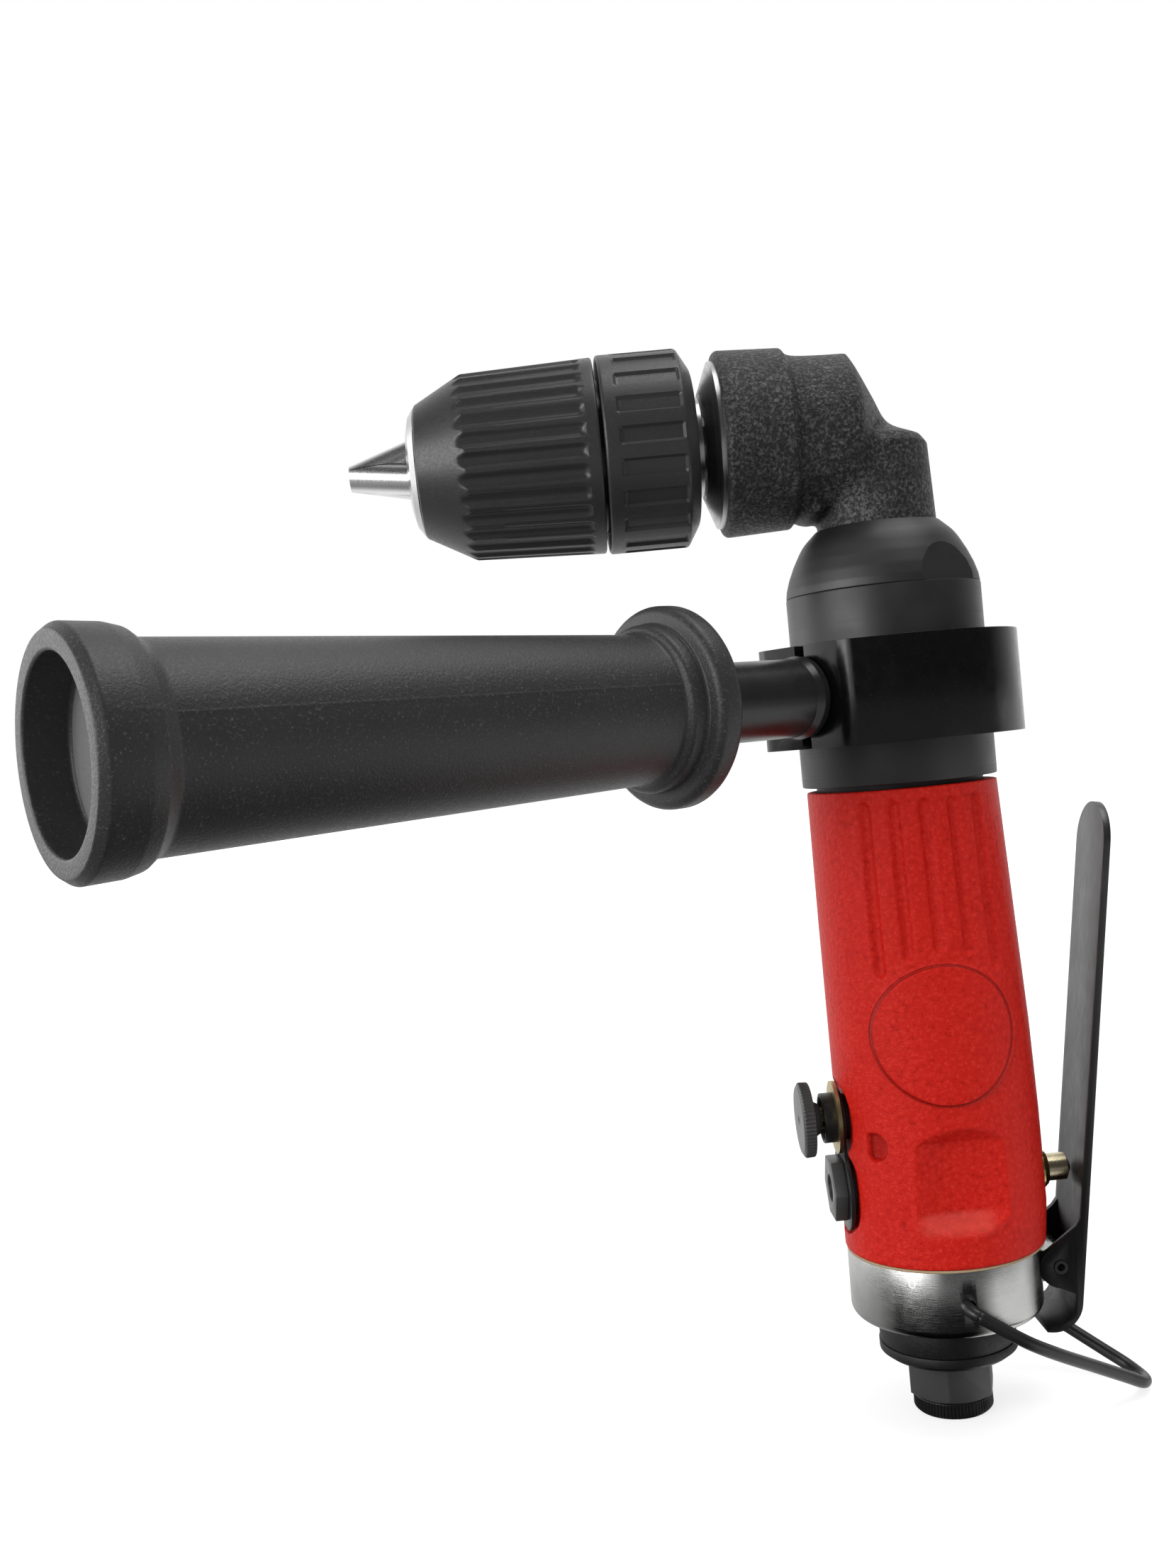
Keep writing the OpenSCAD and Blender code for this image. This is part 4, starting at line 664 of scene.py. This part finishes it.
def merged(node):
    """A merged copy of a solid's mesh."""
    shape = opened(frame["nodes"][node].data)
    bmesh.ops.remove_doubles(shape, verts=shape.verts, dist=1e-6)
    mesh = closed(shape, bpy.data.meshes.new(node))
    if "custom_normal" in mesh.attributes:
        mesh.attributes.remove(mesh.attributes["custom_normal"])
    return mesh


def with_lump(mesh, place, reach):
    """Adds a round lump that the next skin runs into the solid."""
    form = Matrix.Translation(Vector(place) * mm) @ Matrix.Diagonal((*(r * mm for r in reach), 1.0))
    shape = opened(mesh)
    bmesh.ops.create_uvsphere(shape, u_segments=48, v_segments=24, radius=1.0, matrix=form)
    return closed(shape, mesh)


def cast(name, node, mesh, finish, grain, passes, blend=None, keep=1.0):
    """A solid with its edges softened as a casting has them. blend gives extra smoothing by place.
    keep is the share of its faces that stay."""
    piece = put_out(name, mesh, finish)
    skin = piece.modifiers.new("skin", "REMESH")
    skin.mode = "VOXEL"
    skin.voxel_size = grain * mm
    skin.use_smooth_shade = True
    settle(piece)
    if blend:
        group = piece.vertex_groups.new(name="blend")
        for v in piece.data.vertices:
            share = blend(v.co / mm)
            if share > 0.001:
                group.add([v.index], share, "REPLACE")
        fillet = piece.modifiers.new("fillet", "SMOOTH")
        fillet.factor = 0.5
        fillet.iterations = FILLET_PASSES
        fillet.vertex_group = "blend"
    soft = piece.modifiers.new("soft", "SMOOTH")
    soft.factor = 0.5
    soft.iterations = passes
    if keep < 1:
        thin = piece.modifiers.new("thin", "DECIMATE")
        thin.ratio = keep
    settle(piece)
    piece.vertex_groups.clear()
    piece.data.shade_smooth()
    return seat(piece, node)


def lean(piece, table, start, full):
    """Leans the outer skin to the lever side, by rows of (height, shift, growth)."""
    for v in piece.data.vertices:
        x, y, z = v.co / mm
        radius = math.hypot(x, y)
        share = clamped((radius - start) / (full - start))
        if share == 0:
            continue
        for (z0, s0, g0), (z1, s1, g1) in zip(table, table[1:]):
            if z <= z1:
                break
        t = clamped((z - z0) / (z1 - z0))
        v.co.x += share * (s0 + (s1 - s0) * t + (g0 + (g1 - g0) * t) * x / radius) * mm


def deepen(piece, low, high, share, deepest):
    """Makes the relief on the housing's cone stronger by a share, between two heights."""
    for v in piece.data.vertices:
        x, y, z = v.co / mm
        if not low < z < high or abs(x) > RELIEF_HALF:
            continue
        radius = math.hypot(x, y)
        skin = HOUSING_R + (HOUSING_TOP_R - HOUSING_R) * (z - HOUSING_Z0) / HOUSING_H
        fade = min(1.0, (z - low) / RELIEF_FADE_LOW, (high - z) / RELIEF_FADE_HIGH)
        if -RELIEF_PROUD < skin - radius < deepest:
            grow = 1 - share * fade * (skin - radius) / radius
            v.co.x *= grow
            v.co.y *= grow


def clear_room(piece, axis, radius, low, high):
    """Moves the skin out of a round space between two distances along an axis."""
    back = axis.inverted()
    for v in piece.data.vertices:
        x, y, s = (back @ v.co) / mm
        r = math.hypot(x, y)
        if r >= radius or not low < s < high:
            continue
        if s - low < radius - r:
            s = low
        else:
            x, y = x * radius / r, y * radius / r
        v.co = axis @ (Vector((x, y, s)) * mm)


def joined(mesh, more):
    """One closed mesh from two that overlap."""
    whole = placed("joining", mesh)
    other = placed("joining", more)
    join = whole.modifiers.new("join", "BOOLEAN")
    join.operation = "UNION"
    join.solver = "EXACT"
    join.object = other
    mesh = settle(whole).data
    for piece in (whole, other):
        bpy.data.objects.remove(piece)
    bpy.data.meshes.remove(more)
    return mesh


def softened(name, node, finish, width, segments=2, wide=None, more=None):
    """A solid with its edges broken by a small round. wide picks edges that get a round of their own.
    more is a mesh that is joined to the solid first."""
    mesh = joined(merged(node), more) if more else merged(node)
    shape = opened(mesh)
    bmesh.ops.remove_doubles(shape, verts=shape.verts, dist=WELD * mm)
    bmesh.ops.dissolve_limit(
        shape, angle_limit=FLAT_ANGLE, use_dissolve_boundaries=False,
        verts=shape.verts, edges=shape.edges,
    )
    if wide:
        pick, size = wide
        edges = [e for e in shape.edges if pick(*(v.co / mm for v in e.verts))]
        bmesh.ops.bevel(
            shape, geom=edges, offset=size * mm, segments=ROUND_STEPS, affect="EDGES", profile=0.5,
        )
    piece = put_out(name, closed(shape, mesh), finish)
    edge = piece.modifiers.new("edge", "BEVEL")
    edge.width = width * mm
    edge.segments = segments
    edge.limit_method = "ANGLE"
    edge.angle_limit = EDGE_ANGLE
    edge.use_clamp_overlap = True
    edge.harden_normals = False
    settle(piece)
    piece.data.shade_smooth()
    piece.data.set_sharp_from_angle(angle=SOFT_ANGLE)
    return seat(piece, node)


# Carved and wound pieces
class Rule(Bench):
    """A Geometry Nodes tree with named inputs."""

    def __init__(self, name, inputs):
        super().__init__(bpy.data.node_groups.new(name, "GeometryNodeTree"))
        face = self.tree.interface
        face.new_socket("Geometry", in_out="INPUT", socket_type="NodeSocketGeometry")
        self.keys = {}
        for key, kind in inputs.items():
            socket = face.new_socket(key, in_out="INPUT", socket_type="NodeSocket" + kind)
            self.keys[key] = socket.identifier
        face.new_socket("Geometry", in_out="OUTPUT", socket_type="NodeSocketGeometry")
        self.entry = self.tree.nodes.new("NodeGroupInput")

    def get(self, key):
        return Val(self, self.entry.outputs[key])

    def close(self, shape):
        smooth = self.add("GeometryNodeSetShadeSmooth", None, {"Geometry": shape})
        real = self.add("GeometryNodeRealizeInstances", None, {"Geometry": smooth})
        done = self.add("GeometryNodeSetMaterial", None, {"Geometry": real, "Material": self.get("Finish")})
        leave = self.tree.nodes.new("NodeGroupOutput")
        self.feed(leave.inputs[0], done)
        return self

    def apply(self, piece, values):
        work = piece.modifiers.new("rule", "NODES")
        work.node_group = self.tree
        for key, value in values.items():
            work[self.keys[key]] = value
        return settle(piece)


# Sizes of a set of grooves: those in millimetres, and those without a unit
GROOVE_LENGTHS = ("Floor", "Cutter", "Half width", "Start", "End", "Soft")
GROOVE_NUMBERS = ("Count", "Lean", "End slope")


def carving_rule():
    """Cuts even grooves into a turned piece about local z, with soft edges."""
    inputs = {key: "Float" for key in GROOVE_LENGTHS + GROOVE_NUMBERS}
    rule = Rule("even_grooves", {**inputs, "Finish": "Material"})
    x, y, z = rule.split(rule.add("GeometryNodeInputPosition"))
    radius = rule.length(x, y)
    sector = 2 * math.pi / rule.get("Count")
    off = rule.maths("WRAP", rule.maths("ARCTAN2", y, x), sector * 0.5, sector * -0.5)
    side = rule.highest(abs(off * radius) - rule.get("Half width"), 0.0)
    floor = rule.get("Floor") + rule.get("Lean") * (z - rule.get("Start"))
    past = rule.highest(rule.get("Start") - z, 0.0) + rule.highest(z - rule.get("End"), 0.0)
    cut = floor + side * side / (2.0 * rule.get("Cutter")) + past * rule.get("End slope")
    deep = rule.maths("SMOOTH_MIN", radius, cut, rule.get("Soft"))
    share = rule.lowest(deep / rule.highest(radius, 1e-6), 1.0)
    moved = rule.add("ShaderNodeCombineXYZ", None, {0: x * share, 1: y * share, 2: z})
    shape = rule.add("GeometryNodeSetPosition", None, {"Geometry": rule.get("Geometry"), "Position": moved})
    return rule.close(shape)


def wire_rule():
    """A round wire along a line of points."""
    rule = Rule("bent_wire", {"Wire radius": "Float", "Sides": "Int", "Finish": "Material"})
    line = rule.add("GeometryNodeMeshToCurve", None, {"Mesh": rule.get("Geometry")})
    size = {"Resolution": rule.get("Sides"), "Radius": rule.get("Wire radius")}
    section = rule.add("GeometryNodeCurvePrimitiveCircle", None, size)
    parts = {"Curve": line, "Profile Curve": section, "Fill Caps": True}
    return rule.close(rule.add("GeometryNodeCurveToMesh", None, parts))


CARVE = carving_rule()
WIRE = wire_rule()


def carved(name, node, line, axis, finish, grooves, steps, loop=True):
    """A turned piece with a set of even grooves."""
    piece = put_out(name, lathe(name, line, steps, loop), finish)
    sizes = {key: value * mm if key in GROOVE_LENGTHS else value for key, value in grooves.items()}
    CARVE.apply(piece, {**sizes, "Finish": finish})
    piece.data.transform(axis)
    piece.data.set_sharp_from_angle(angle=CARVED_ANGLE)
    seat(piece, node)


def turning(name, node, line, axis, finish, steps, sharp=40, ribs=()):
    """A plain turned piece."""
    mesh = lathe(name, line, steps, ribs=ribs)
    mesh.transform(axis)
    seat(put_out(name, mesh, finish, sharp), node)


# Pieces
def side_handle():
    line = rounded([
        (151.0, 0, 0), (151.0, 5.0, 0), (61.5, 5.0, 0), (61.5, 20.1, 2.2), (67.5, 20.1, 2.4),
        (67.9, 16.5, 0.7), (71.2, 16.5, 1.5), (71.9, 14.65, 1.2), (172.0, 17.55, 1.8),
        (174.4, 19.4, 1.4), (177.2, 20.1, 2.5), (183.6, 20.4, 1.0), (185.2, 19.2, 0.5),
        (185.2, 15.9, 0.6), (HANDLE_RECESS, 15.8, 0.8), (HANDLE_RECESS, 0, 0),
    ])
    ribs = [(angle, *MOULD_LINE) for angle in (105, 285)]
    fine = filled(line, 4.0)
    turning("side_handle_moulding", "side_handle", fine, HANDLE, GRIP_BLACK, steps=128, sharp=50, ribs=ribs)


def handle_rod():
    line = rounded([
        (21.75, 0, 0), (21.75, 6.0, 0.5), (27.3, 6.0, 0), (27.3, 8.6, 0.7), (29.4, 8.9, 1.2),
        (31.0, 8.3, 0.6), (60.9, 8.3, 0.4), (61.5, 7.9, 0), (61.5, 5.0, 0.3), (150.5, 5.0, 0.8),
        (150.5, 0, 0),
    ])
    turning("handle_rod_turning", "handle_rod", filled(line, 5.0), HANDLE, ROD_BLACK, steps=72)


def front_sleeve():
    outer = rounded([
        (60.0, 16.7, 0), (60.0, 21.25, 0.5), (88.6, 20.2, 1.4), (99.1, 14.5, 0.5), (99.3, 14.12, 0),
    ])
    room = [(99.3, 14.12), (92.8, 14.12), (92.8, 15.6), (86.6, 19.0), (63.0, 19.0), (63.0, 16.6)]
    line = filled(outer, 0.55) + filled(room, 6.0)[1:]
    flutes = {
        "Count": 30.0, "Floor": 20.3, "Lean": -1.05 / 28.6, "Cutter": 1.1, "Half width": 0.25,
        "Start": 63.3, "End": 95.0, "End slope": 3.0, "Soft": 0.22,
    }
    carved("front_chuck_sleeve", "front_sleeve", line, SPINDLE, CHUCK_BLACK, flutes, steps=450)


def rear_sleeve():
    outer = rounded([
        (39.2, 10.95, 0), (39.2, 17.2, 0.8), (41.8, 21.55, 1.0), (59.2, 21.55, 0.7), (59.2, 16.7, 0),
    ])
    room = [(59.2, 16.7), (41.0, 16.6), (41.0, 10.9)]
    line = filled(outer, 0.4) + filled(room, 6.0)[1:]
    pockets = {
        "Count": 20.0, "Floor": 20.95, "Lean": 0.0, "Cutter": 0.12, "Half width": 1.45,
        "Start": 42.6, "End": 55.6, "End slope": 1.6, "Soft": 0.12,
    }
    carved("rear_chuck_sleeve", "rear_sleeve", line, SPINDLE, CHUCK_BLACK, pockets, steps=480)


def reverse_knob():
    line = rounded([
        (27.3, 0, 0), (27.3, KNOB_BORE, 0), (KNOB_FOOT, KNOB_BORE, 0), (KNOB_FOOT, KNOB_BORE + 1.2, 0.2),
        (26.3, 4.4, 0.3), (26.3, 8.2, 0.35), (28.4, 8.3, 0.5), (29.0, 7.3, 0.4), (29.0, 1.2, 0.2),
        (28.4, 0, 0),
    ])
    knurls = {
        "Count": 60.0, "Floor": 7.95, "Lean": 0.0, "Cutter": 0.15, "Half width": 0.05,
        "Start": 25.0, "End": 30.0, "End slope": 3.0, "Soft": 0.08,
    }
    fine = filled(line, 0.5)
    carved("knurled_reverse_knob", "reverse_knob", fine, REVERSE, KNOB_BLACK, knurls, steps=480, loop=False)


def dust_cap():
    line = rounded([
        (-0.05, 0, 0), (-0.05, 7.25, 0), (2.45, 7.25, 0), (2.45, 8.7, 0.3), (-0.4, 8.75, 0.3),
        (-1.05, 8.1, 0.3), (-1.05, 0, 0),
    ])
    knurls = {
        "Count": 72.0, "Floor": 8.4, "Lean": 0.0, "Cutter": 0.12, "Half width": 0.08,
        "Start": -0.7, "End": 2.1, "End slope": 2.0, "Soft": 0.08,
    }
    fine = filled(line, 0.5)
    carved("knurled_dust_cap", "dust_cap", fine, UPRIGHT, FITTING_BLACK, knurls, steps=432, loop=False)


def hanging_bail():
    """The same line of points as the source's wire, drawn finer by a smooth curve through them."""
    pin_y = 22.2
    bend_r = 2.6
    out = 25.4
    reach = 51.45
    tip = 6.0
    bend = [
        (bend_r * (1 - math.cos(math.radians(a))), -pin_y - bend_r * math.sin(math.radians(a)))
        for a in range(0, 91, 15)
    ]
    leg = [
        (reach * 0.2, -out), (reach * 0.3, -out + 0.8), (reach * 0.45, -out * 0.82),
        (reach * 0.65, -out * 0.57), (reach - tip * 1.3, -out * 0.33), (reach - tip * 0.5, -out * 0.22),
        (reach - tip * 0.13, -out * 0.11),
    ]
    side = [(0, -17.1), (0, -21.6)] + bend + leg
    flat = side + [(reach, 0)] + [(x, -y) for x, y in reversed(side)]
    knots = [Vector((x, y, 0)) for x, y in flat]
    line = [knots[0]]
    for a, b, c, d in zip(knots, knots[1:], knots[2:], knots[3:]):
        for k in range(CURVE_STEPS):
            t = k / CURVE_STEPS
            line.append(
                b + (c - a) * (t / 2) + (2 * a - 5 * b + 4 * c - d) * (t * t / 2)
                + (3 * b - a - 3 * c + d) * (t ** 3 / 2)
            )
    line += knots[-2:]
    mesh = bpy.data.meshes.new("bail_line")
    mesh.from_pydata([tuple(p * mm) for p in line], [(i, i + 1) for i in range(len(line) - 1)], [])
    piece = placed("hanging_bail_wire", mesh)
    WIRE.apply(piece, {"Wire radius": BAIL_WIRE_R * mm, "Sides": 20, "Finish": FITTING_BLACK})
    piece.data.transform(BAIL)
    seat(piece, "hanging_bail")


def motor_housing():
    """Cast and painted, with its relief and its lean, and room for the reverse spool."""
    mesh = merged("motor_housing")
    piece = cast("painted_motor_housing", "motor_housing", mesh, RED, grain=0.4, passes=1, keep=0.47)
    deepen(piece, *GRIP_RELIEF)
    deepen(piece, *SCOOP_RELIEF)
    lean(piece, HOUSING_LEAN, *HOUSING_SKIN)
    clear_room(piece, REVERSE, SPOOL_ROOM_R, *SPOOL_ROOM)


def head_blend(p):
    """Where the neck runs into the barrel of the head, and the saddle behind it."""
    from_neck = abs(math.hypot(p.x, p.y) - NECK_R)
    from_barrel = abs(math.hypot(p.y, p.z - SPINDLE_Z) - BARREL_R)
    join = 0.0
    if p.z > JOIN_LOW and p.x < JOIN_BACK:
        join = clamped((JOIN_REACH - max(from_neck, from_barrel)) / BLEND_FADE)
    saddle = 0.0
    if abs(p.y) < SADDLE_HALF:
        away = math.hypot(p.x - SADDLE_PLACE[0], p.z - SADDLE_PLACE[1])
        saddle = clamped((SADDLE_REACH - away) / BLEND_FADE)
    return max(join, saddle)


def angle_head():
    mesh = with_lump(merged("angle_head"), WEB_PLACE, WEB_REACH)
    cast("cast_angle_head", "angle_head", mesh, WRINKLE, grain=0.5, passes=3, blend=head_blend)


def boss_edge(a, b):
    """The two upright outer edges of the clamp boss."""
    turn = math.radians(HANDLE_ANGLE)
    mid = (a + b) / 2
    along = -mid.x * math.cos(turn) - mid.y * math.sin(turn)
    across = -mid.x * math.sin(turn) + mid.y * math.cos(turn)
    if abs(a.z - b.z) <= UPRIGHT_SHARE * (a - b).length:
        return False
    return abs(along - BOSS_FACE) < BOSS_NEAR and abs(abs(across) - BOSS_HALF) < BOSS_NEAR


def boss_cheeks():
    """Two wedges that carry the sides of the clamp boss out to the ring, where they meet it smoothly."""
    low, high = (v.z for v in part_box("handle_clamp"))
    ring = CLAMP_R - CHEEK_PROUD
    inner = ring - CHEEK_DEPTH
    outline = [
        (BOSS_FACE, BOSS_HALF - CHEEK_LAP), (BOSS_FACE, BOSS_HALF + CHEEK_PROUD),
        (ring * math.cos(CHEEK_ANGLE), ring * math.sin(CHEEK_ANGLE)),
        (inner * math.cos(CHEEK_ANGLE), inner * math.sin(CHEEK_ANGLE)),
        (BOSS_FACE - CHEEK_DEPTH, BOSS_HALF - CHEEK_LAP),
    ]
    shape = bmesh.new()
    for side in (1, -1):
        foot = [shape.verts.new((-s * mm, side * -a * mm, low)) for s, a in outline]
        top = [shape.verts.new((-s * mm, side * -a * mm, high)) for s, a in outline]
        shape.faces.new(foot)
        shape.faces.new(top)
        for i in range(len(outline)):
            j = (i + 1) % len(outline)
            shape.faces.new((foot[i], foot[j], top[j], top[i]))
    bmesh.ops.recalc_face_normals(shape, faces=shape.faces)
    mesh = closed(shape, bpy.data.meshes.new("boss_cheeks"))
    mesh.transform(TOWARDS_HANDLE)
    return mesh


def handle_clamp():
    edges = (boss_edge, BOSS_ROUND)
    softened("clamp_band", "handle_clamp", CLAMP_BLACK, 0.7, segments=3, wide=edges, more=boss_cheeks())


def coupling_nut():
    """The dome with two milled flats that lean in towards the head."""
    line = rounded([
        (NUT_BASE, NUT_BORE, 0), (NUT_BASE, 21.2, 0.25), (NUT_BASE + 1.8, 20.95, 3),
        (NUT_BASE + 4.3, 20.2, 8), (NUT_BASE + 7.2, 18.95, 10), (NUT_BASE + 9.9, 17.5, 10),
        (NUT_BASE + 11.6, 16.4, 10), (NUT_TOP, 13.6, 0.3), (NUT_TOP, NUT_NECK, 0),
        (NUT_SHELF, NUT_NECK, 0), (NUT_SHELF, NUT_FLANGE, 0), (NUT_LEDGE, NUT_FLANGE, 0),
        (NUT_LEDGE, NUT_BORE, 0),
    ])
    mesh = lathe("domed_coupling_nut", line, 160, loop=True)
    shape = opened(mesh)
    for angle in (NUT_FLAT_ANGLE, NUT_FLAT_ANGLE + math.pi):
        out = Vector((math.cos(angle), math.sin(angle), 0))
        cut = bmesh.ops.bisect_plane(
            shape, geom=shape.verts[:] + shape.edges[:] + shape.faces[:],
            plane_co=(out * NUT_FLAT + Vector((0, 0, NUT_BASE))) * mm,
            plane_no=out * math.cos(NUT_FLAT_LEAN) + Vector((0, 0, math.sin(NUT_FLAT_LEAN))),
            clear_outer=True,
        )
        rim = [e for e in cut["geom_cut"] if isinstance(e, bmesh.types.BMEdge)]
        bmesh.ops.holes_fill(shape, edges=rim)
    bmesh.ops.recalc_face_normals(shape, faces=shape.faces)
    seat(put_out("domed_coupling_nut", closed(shape, mesh), NUT_BLACK, sharp=14), "coupling_nut")


def valve_spring():
    """The throttle's spring, which closes up against the plug as the lever is pressed."""
    piece = seat(put_out("wound_valve_spring", merged("valve_spring"), JAW_STEEL), "valve_spring")
    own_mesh(piece)


side_handle()
handle_rod()
front_sleeve()
rear_sleeve()
hanging_bail()
reverse_knob()
dust_cap()
motor_housing()
gasket = softened("cut_gasket", "end_gasket", PAPER, 0.05, segments=1)
lean(gasket, HOUSING_LEAN, *HOUSING_SKIN)
angle_head()
handle_clamp()
coupling_nut()
valve_spring()

# Pieces that have their edges broken: name, solid, finish and width of the round
BROKEN_EDGES = (
    ("turned_gear_housing", "gear_housing", GEAR_BLACK, 0.3),
    ("bare_rear_cap", "rear_cap", ALUMINIUM, 0.3),
    ("bent_throttle_lever", "throttle_lever", LEVER_STEEL, 0.35),
    ("hex_throttle_plug", "throttle_plug", KNOB_BLACK, 0.3),
    ("hex_inlet_bushing", "inlet_bushing", KNOB_BLACK, 0.2),
    ("round_deflector", "exhaust_deflector", EXHAUST_BLACK, 0.3),
    ("round_exhaust_ring", "exhaust_ring", EXHAUST_BLACK, 0.3),
    ("stamped_retainer_plate", "retainer_plate", FITTING_BLACK, 0.2),
    ("round_reverse_bushing", "reverse_bushing", FITTING_BLACK, 0.2),
)
broken = {node: softened(name, node, finish, width) for name, node, finish, width in BROKEN_EDGES}
lean(broken["rear_cap"], CAP_LEAN, *CAP_SKIN)

# Finishes of the solids. What isn't named here is oiled gear steel.
DRESS = {
    ALUMINIUM: ("rear_cap",),
    GEAR_BLACK: ("gear_housing",),
    NUT_BLACK: ("coupling_nut",),
    CHUCK_STEEL: ("chuck_body",),
    JAW_STEEL: ("jaw_1", "jaw_2", "jaw_3", "spindle", "spindle_bearing", "chuck_screw"),
    CAP_STEEL: ("bearing_cap",),
    PLAIN_STEEL: (
        "rear_rotor_bearing", "front_rotor_bearing", "carrier_bearing", "pinion_bearing", "planet_pins",
    ),
    FITTING_BLACK: (
        "inlet_bushing", "reverse_knob", "reverse_bushing", "lever_pin", "dust_cap", "retainer_plate",
    ),
    EXHAUST_BLACK: ("exhaust_deflector", "exhaust_ring"),
    BRASS: ("throttle_bushing", "tail_bushing", "reverse_spool", "inlet_screen"),
    PALE_BRASS: ("throttle_stem",),
    ZINC: ("reverse_washer",),
    PAPER: ("end_gasket",),
    RESIN: ("rotor_vanes",),
}
finish_of = {node: finish for finish, nodes in DRESS.items() for node in nodes}
for node, solid in frame["nodes"].items():
    finish = finish_of.get(node, GEAR_STEEL)
    if not solid.material_slots:
        solid.data.materials.append(finish)
    for slot in solid.material_slots:
        slot.material = finish


# Floor, light and camera
FLOOR_Z = -1.1
FLOOR_HALF = 4.0
scene.view_settings.view_transform = "Standard"


def lay_floor():
    """White floor. In reflections it is dark before the foot, bright to the right and grey elsewhere."""
    mesh = bpy.data.meshes.new("floor")
    corners = [(-1, -1), (1, -1), (1, 1), (-1, 1)]
    places = [(x * FLOOR_HALF, y * FLOOR_HALF, FLOOR_Z * mm) for x, y in corners]
    mesh.from_pydata(places, [], [(0, 1, 2, 3)])
    f = Finish("pale_floor", (0.4, 0.4, 0.4), 0.9, Specular_IOR_Level=0.0)
    camera, glossy = f.several("ShaderNodeLightPath", ("Is Camera Ray", "Is Glossy Ray"))
    # Distance from the foot in metres, and the angle round it in radians, from the front to the right
    x, y = f.split(f.place)[:2]
    far = f.length(x, y)
    round_foot = f.maths("ARCTAN2", x, y * -1)
    bright = f.spread(round_foot, 0.4, 0.75) * f.spread(round_foot, 1.9, 1.5) * f.spread(far, 0.65, 0.45)
    dark = f.spread(round_foot, -1.6, -1.1) * f.spread(round_foot, 0.6, 0.3) * f.spread(far, 0.32, 0.2)
    behind = f.spread(y, 0.0, 0.15, 0.3, 0.95)
    mirrored = f.highest(behind - dark * 0.34, bright)
    seen = f.spread(far, 0.3, 1.2, 0.72, 1.0)
    f.set("Base Color", f.tint(glossy, (0.4, 0.4, 0.4), (0, 0, 0)))
    f.set("Emission Color", f.tint(camera * seen + glossy * mirrored, (0, 0, 0), (1, 1, 1)))
    f.set("Emission Strength", 1.0)
    mesh.materials.append(f.material)
    placed("floor", mesh)


def softbox(name, place, aim, width, height, power):
    lamp = bpy.data.lights.new(name, "AREA")
    lamp.shape = "RECTANGLE"
    lamp.size = width
    lamp.size_y = height
    lamp.energy = power
    box = placed(name, lamp)
    box.location = place
    box.rotation_euler = (Vector(aim) - Vector(place)).to_track_quat("-Z", "Y").to_euler()


def studio():
    """White room. In reflections it has a pale back wall and bright cards to the left."""
    world = bpy.data.worlds.new("studio")
    scene.world = world
    world.use_nodes = True
    bench = Bench(world.node_tree)
    rays = ("Is Camera Ray", "Is Glossy Ray", "Is Transmission Ray")
    camera, glossy, through = bench.several("ShaderNodeLightPath", rays)
    clear = bench.highest(glossy, through)
    # Directions run from -1 to 1: x to the right, y to the back and z up
    x, y, z = bench.split(bench.add("ShaderNodeTexCoord", out="Generated"))
    behind = bench.spread(y, 0.0, 0.8, 0.05, 1.05)
    left = bench.spread(x, -0.6, -0.8) * bench.spread(z, 0.75, 0.5)
    corner = bench.spread(x, -0.55, -0.75) * bench.spread(y, 0.3, 0.5) * bench.spread(z, 0.6, 0.4)
    front = bench.spread(y, -0.5, -0.65) * bench.spread(x, -0.35, -0.5) * bench.spread(z, 0.6, 0.45)
    mirrored = bench.highest(behind, left * 1.4) + corner * 1.3 + front * 1.8
    back = world.node_tree.nodes["Background"]
    back.inputs["Color"].default_value = (1, 1, 1, 1)
    bench.feed(back.inputs["Strength"], bench.highest(camera, clear * mirrored + (1 - clear) * 0.86))


def photo_camera():
    """The photograph's own view: place in metres, angles in degrees and focal length in its pixels."""
    place = Vector((-0.073665, -0.345131, 0.153264))
    yaw, pitch, roll = (math.radians(a) for a in (-0.7805, -1.3330, -5.3177))
    focal = 2195.6
    width = 1659
    sensor = 36.0
    ahead = Vector((-math.sin(yaw) * math.cos(pitch), math.cos(yaw) * math.cos(pitch), math.sin(pitch)))
    right = Vector((math.cos(yaw), math.sin(yaw), 0))
    up = right.cross(ahead)
    right_rolled = math.cos(roll) * right + math.sin(roll) * up
    up_rolled = -math.sin(roll) * right + math.cos(roll) * up
    lens = bpy.data.cameras.new("photo_camera")
    lens.sensor_fit = "HORIZONTAL"
    lens.sensor_width = sensor
    lens.lens = focal * sensor / width
    lens.clip_start = 0.01
    eye = placed("photo_camera", lens)
    columns = Matrix((right_rolled, up_rolled, -ahead)).transposed()
    eye.matrix_world = Matrix.Translation(place) @ columns.to_4x4()
    scene.camera = eye


lay_floor()
studio()
photo_camera()
softbox("key_box", (-0.96, -0.57, 0.4), aim=(-0.03, 0, 0.15), width=0.75, height=0.6, power=5.5)
softbox("top_box", (0.3, -0.08, 1.25), aim=(-0.02, 0, 0.14), width=0.75, height=0.75, power=5.5)
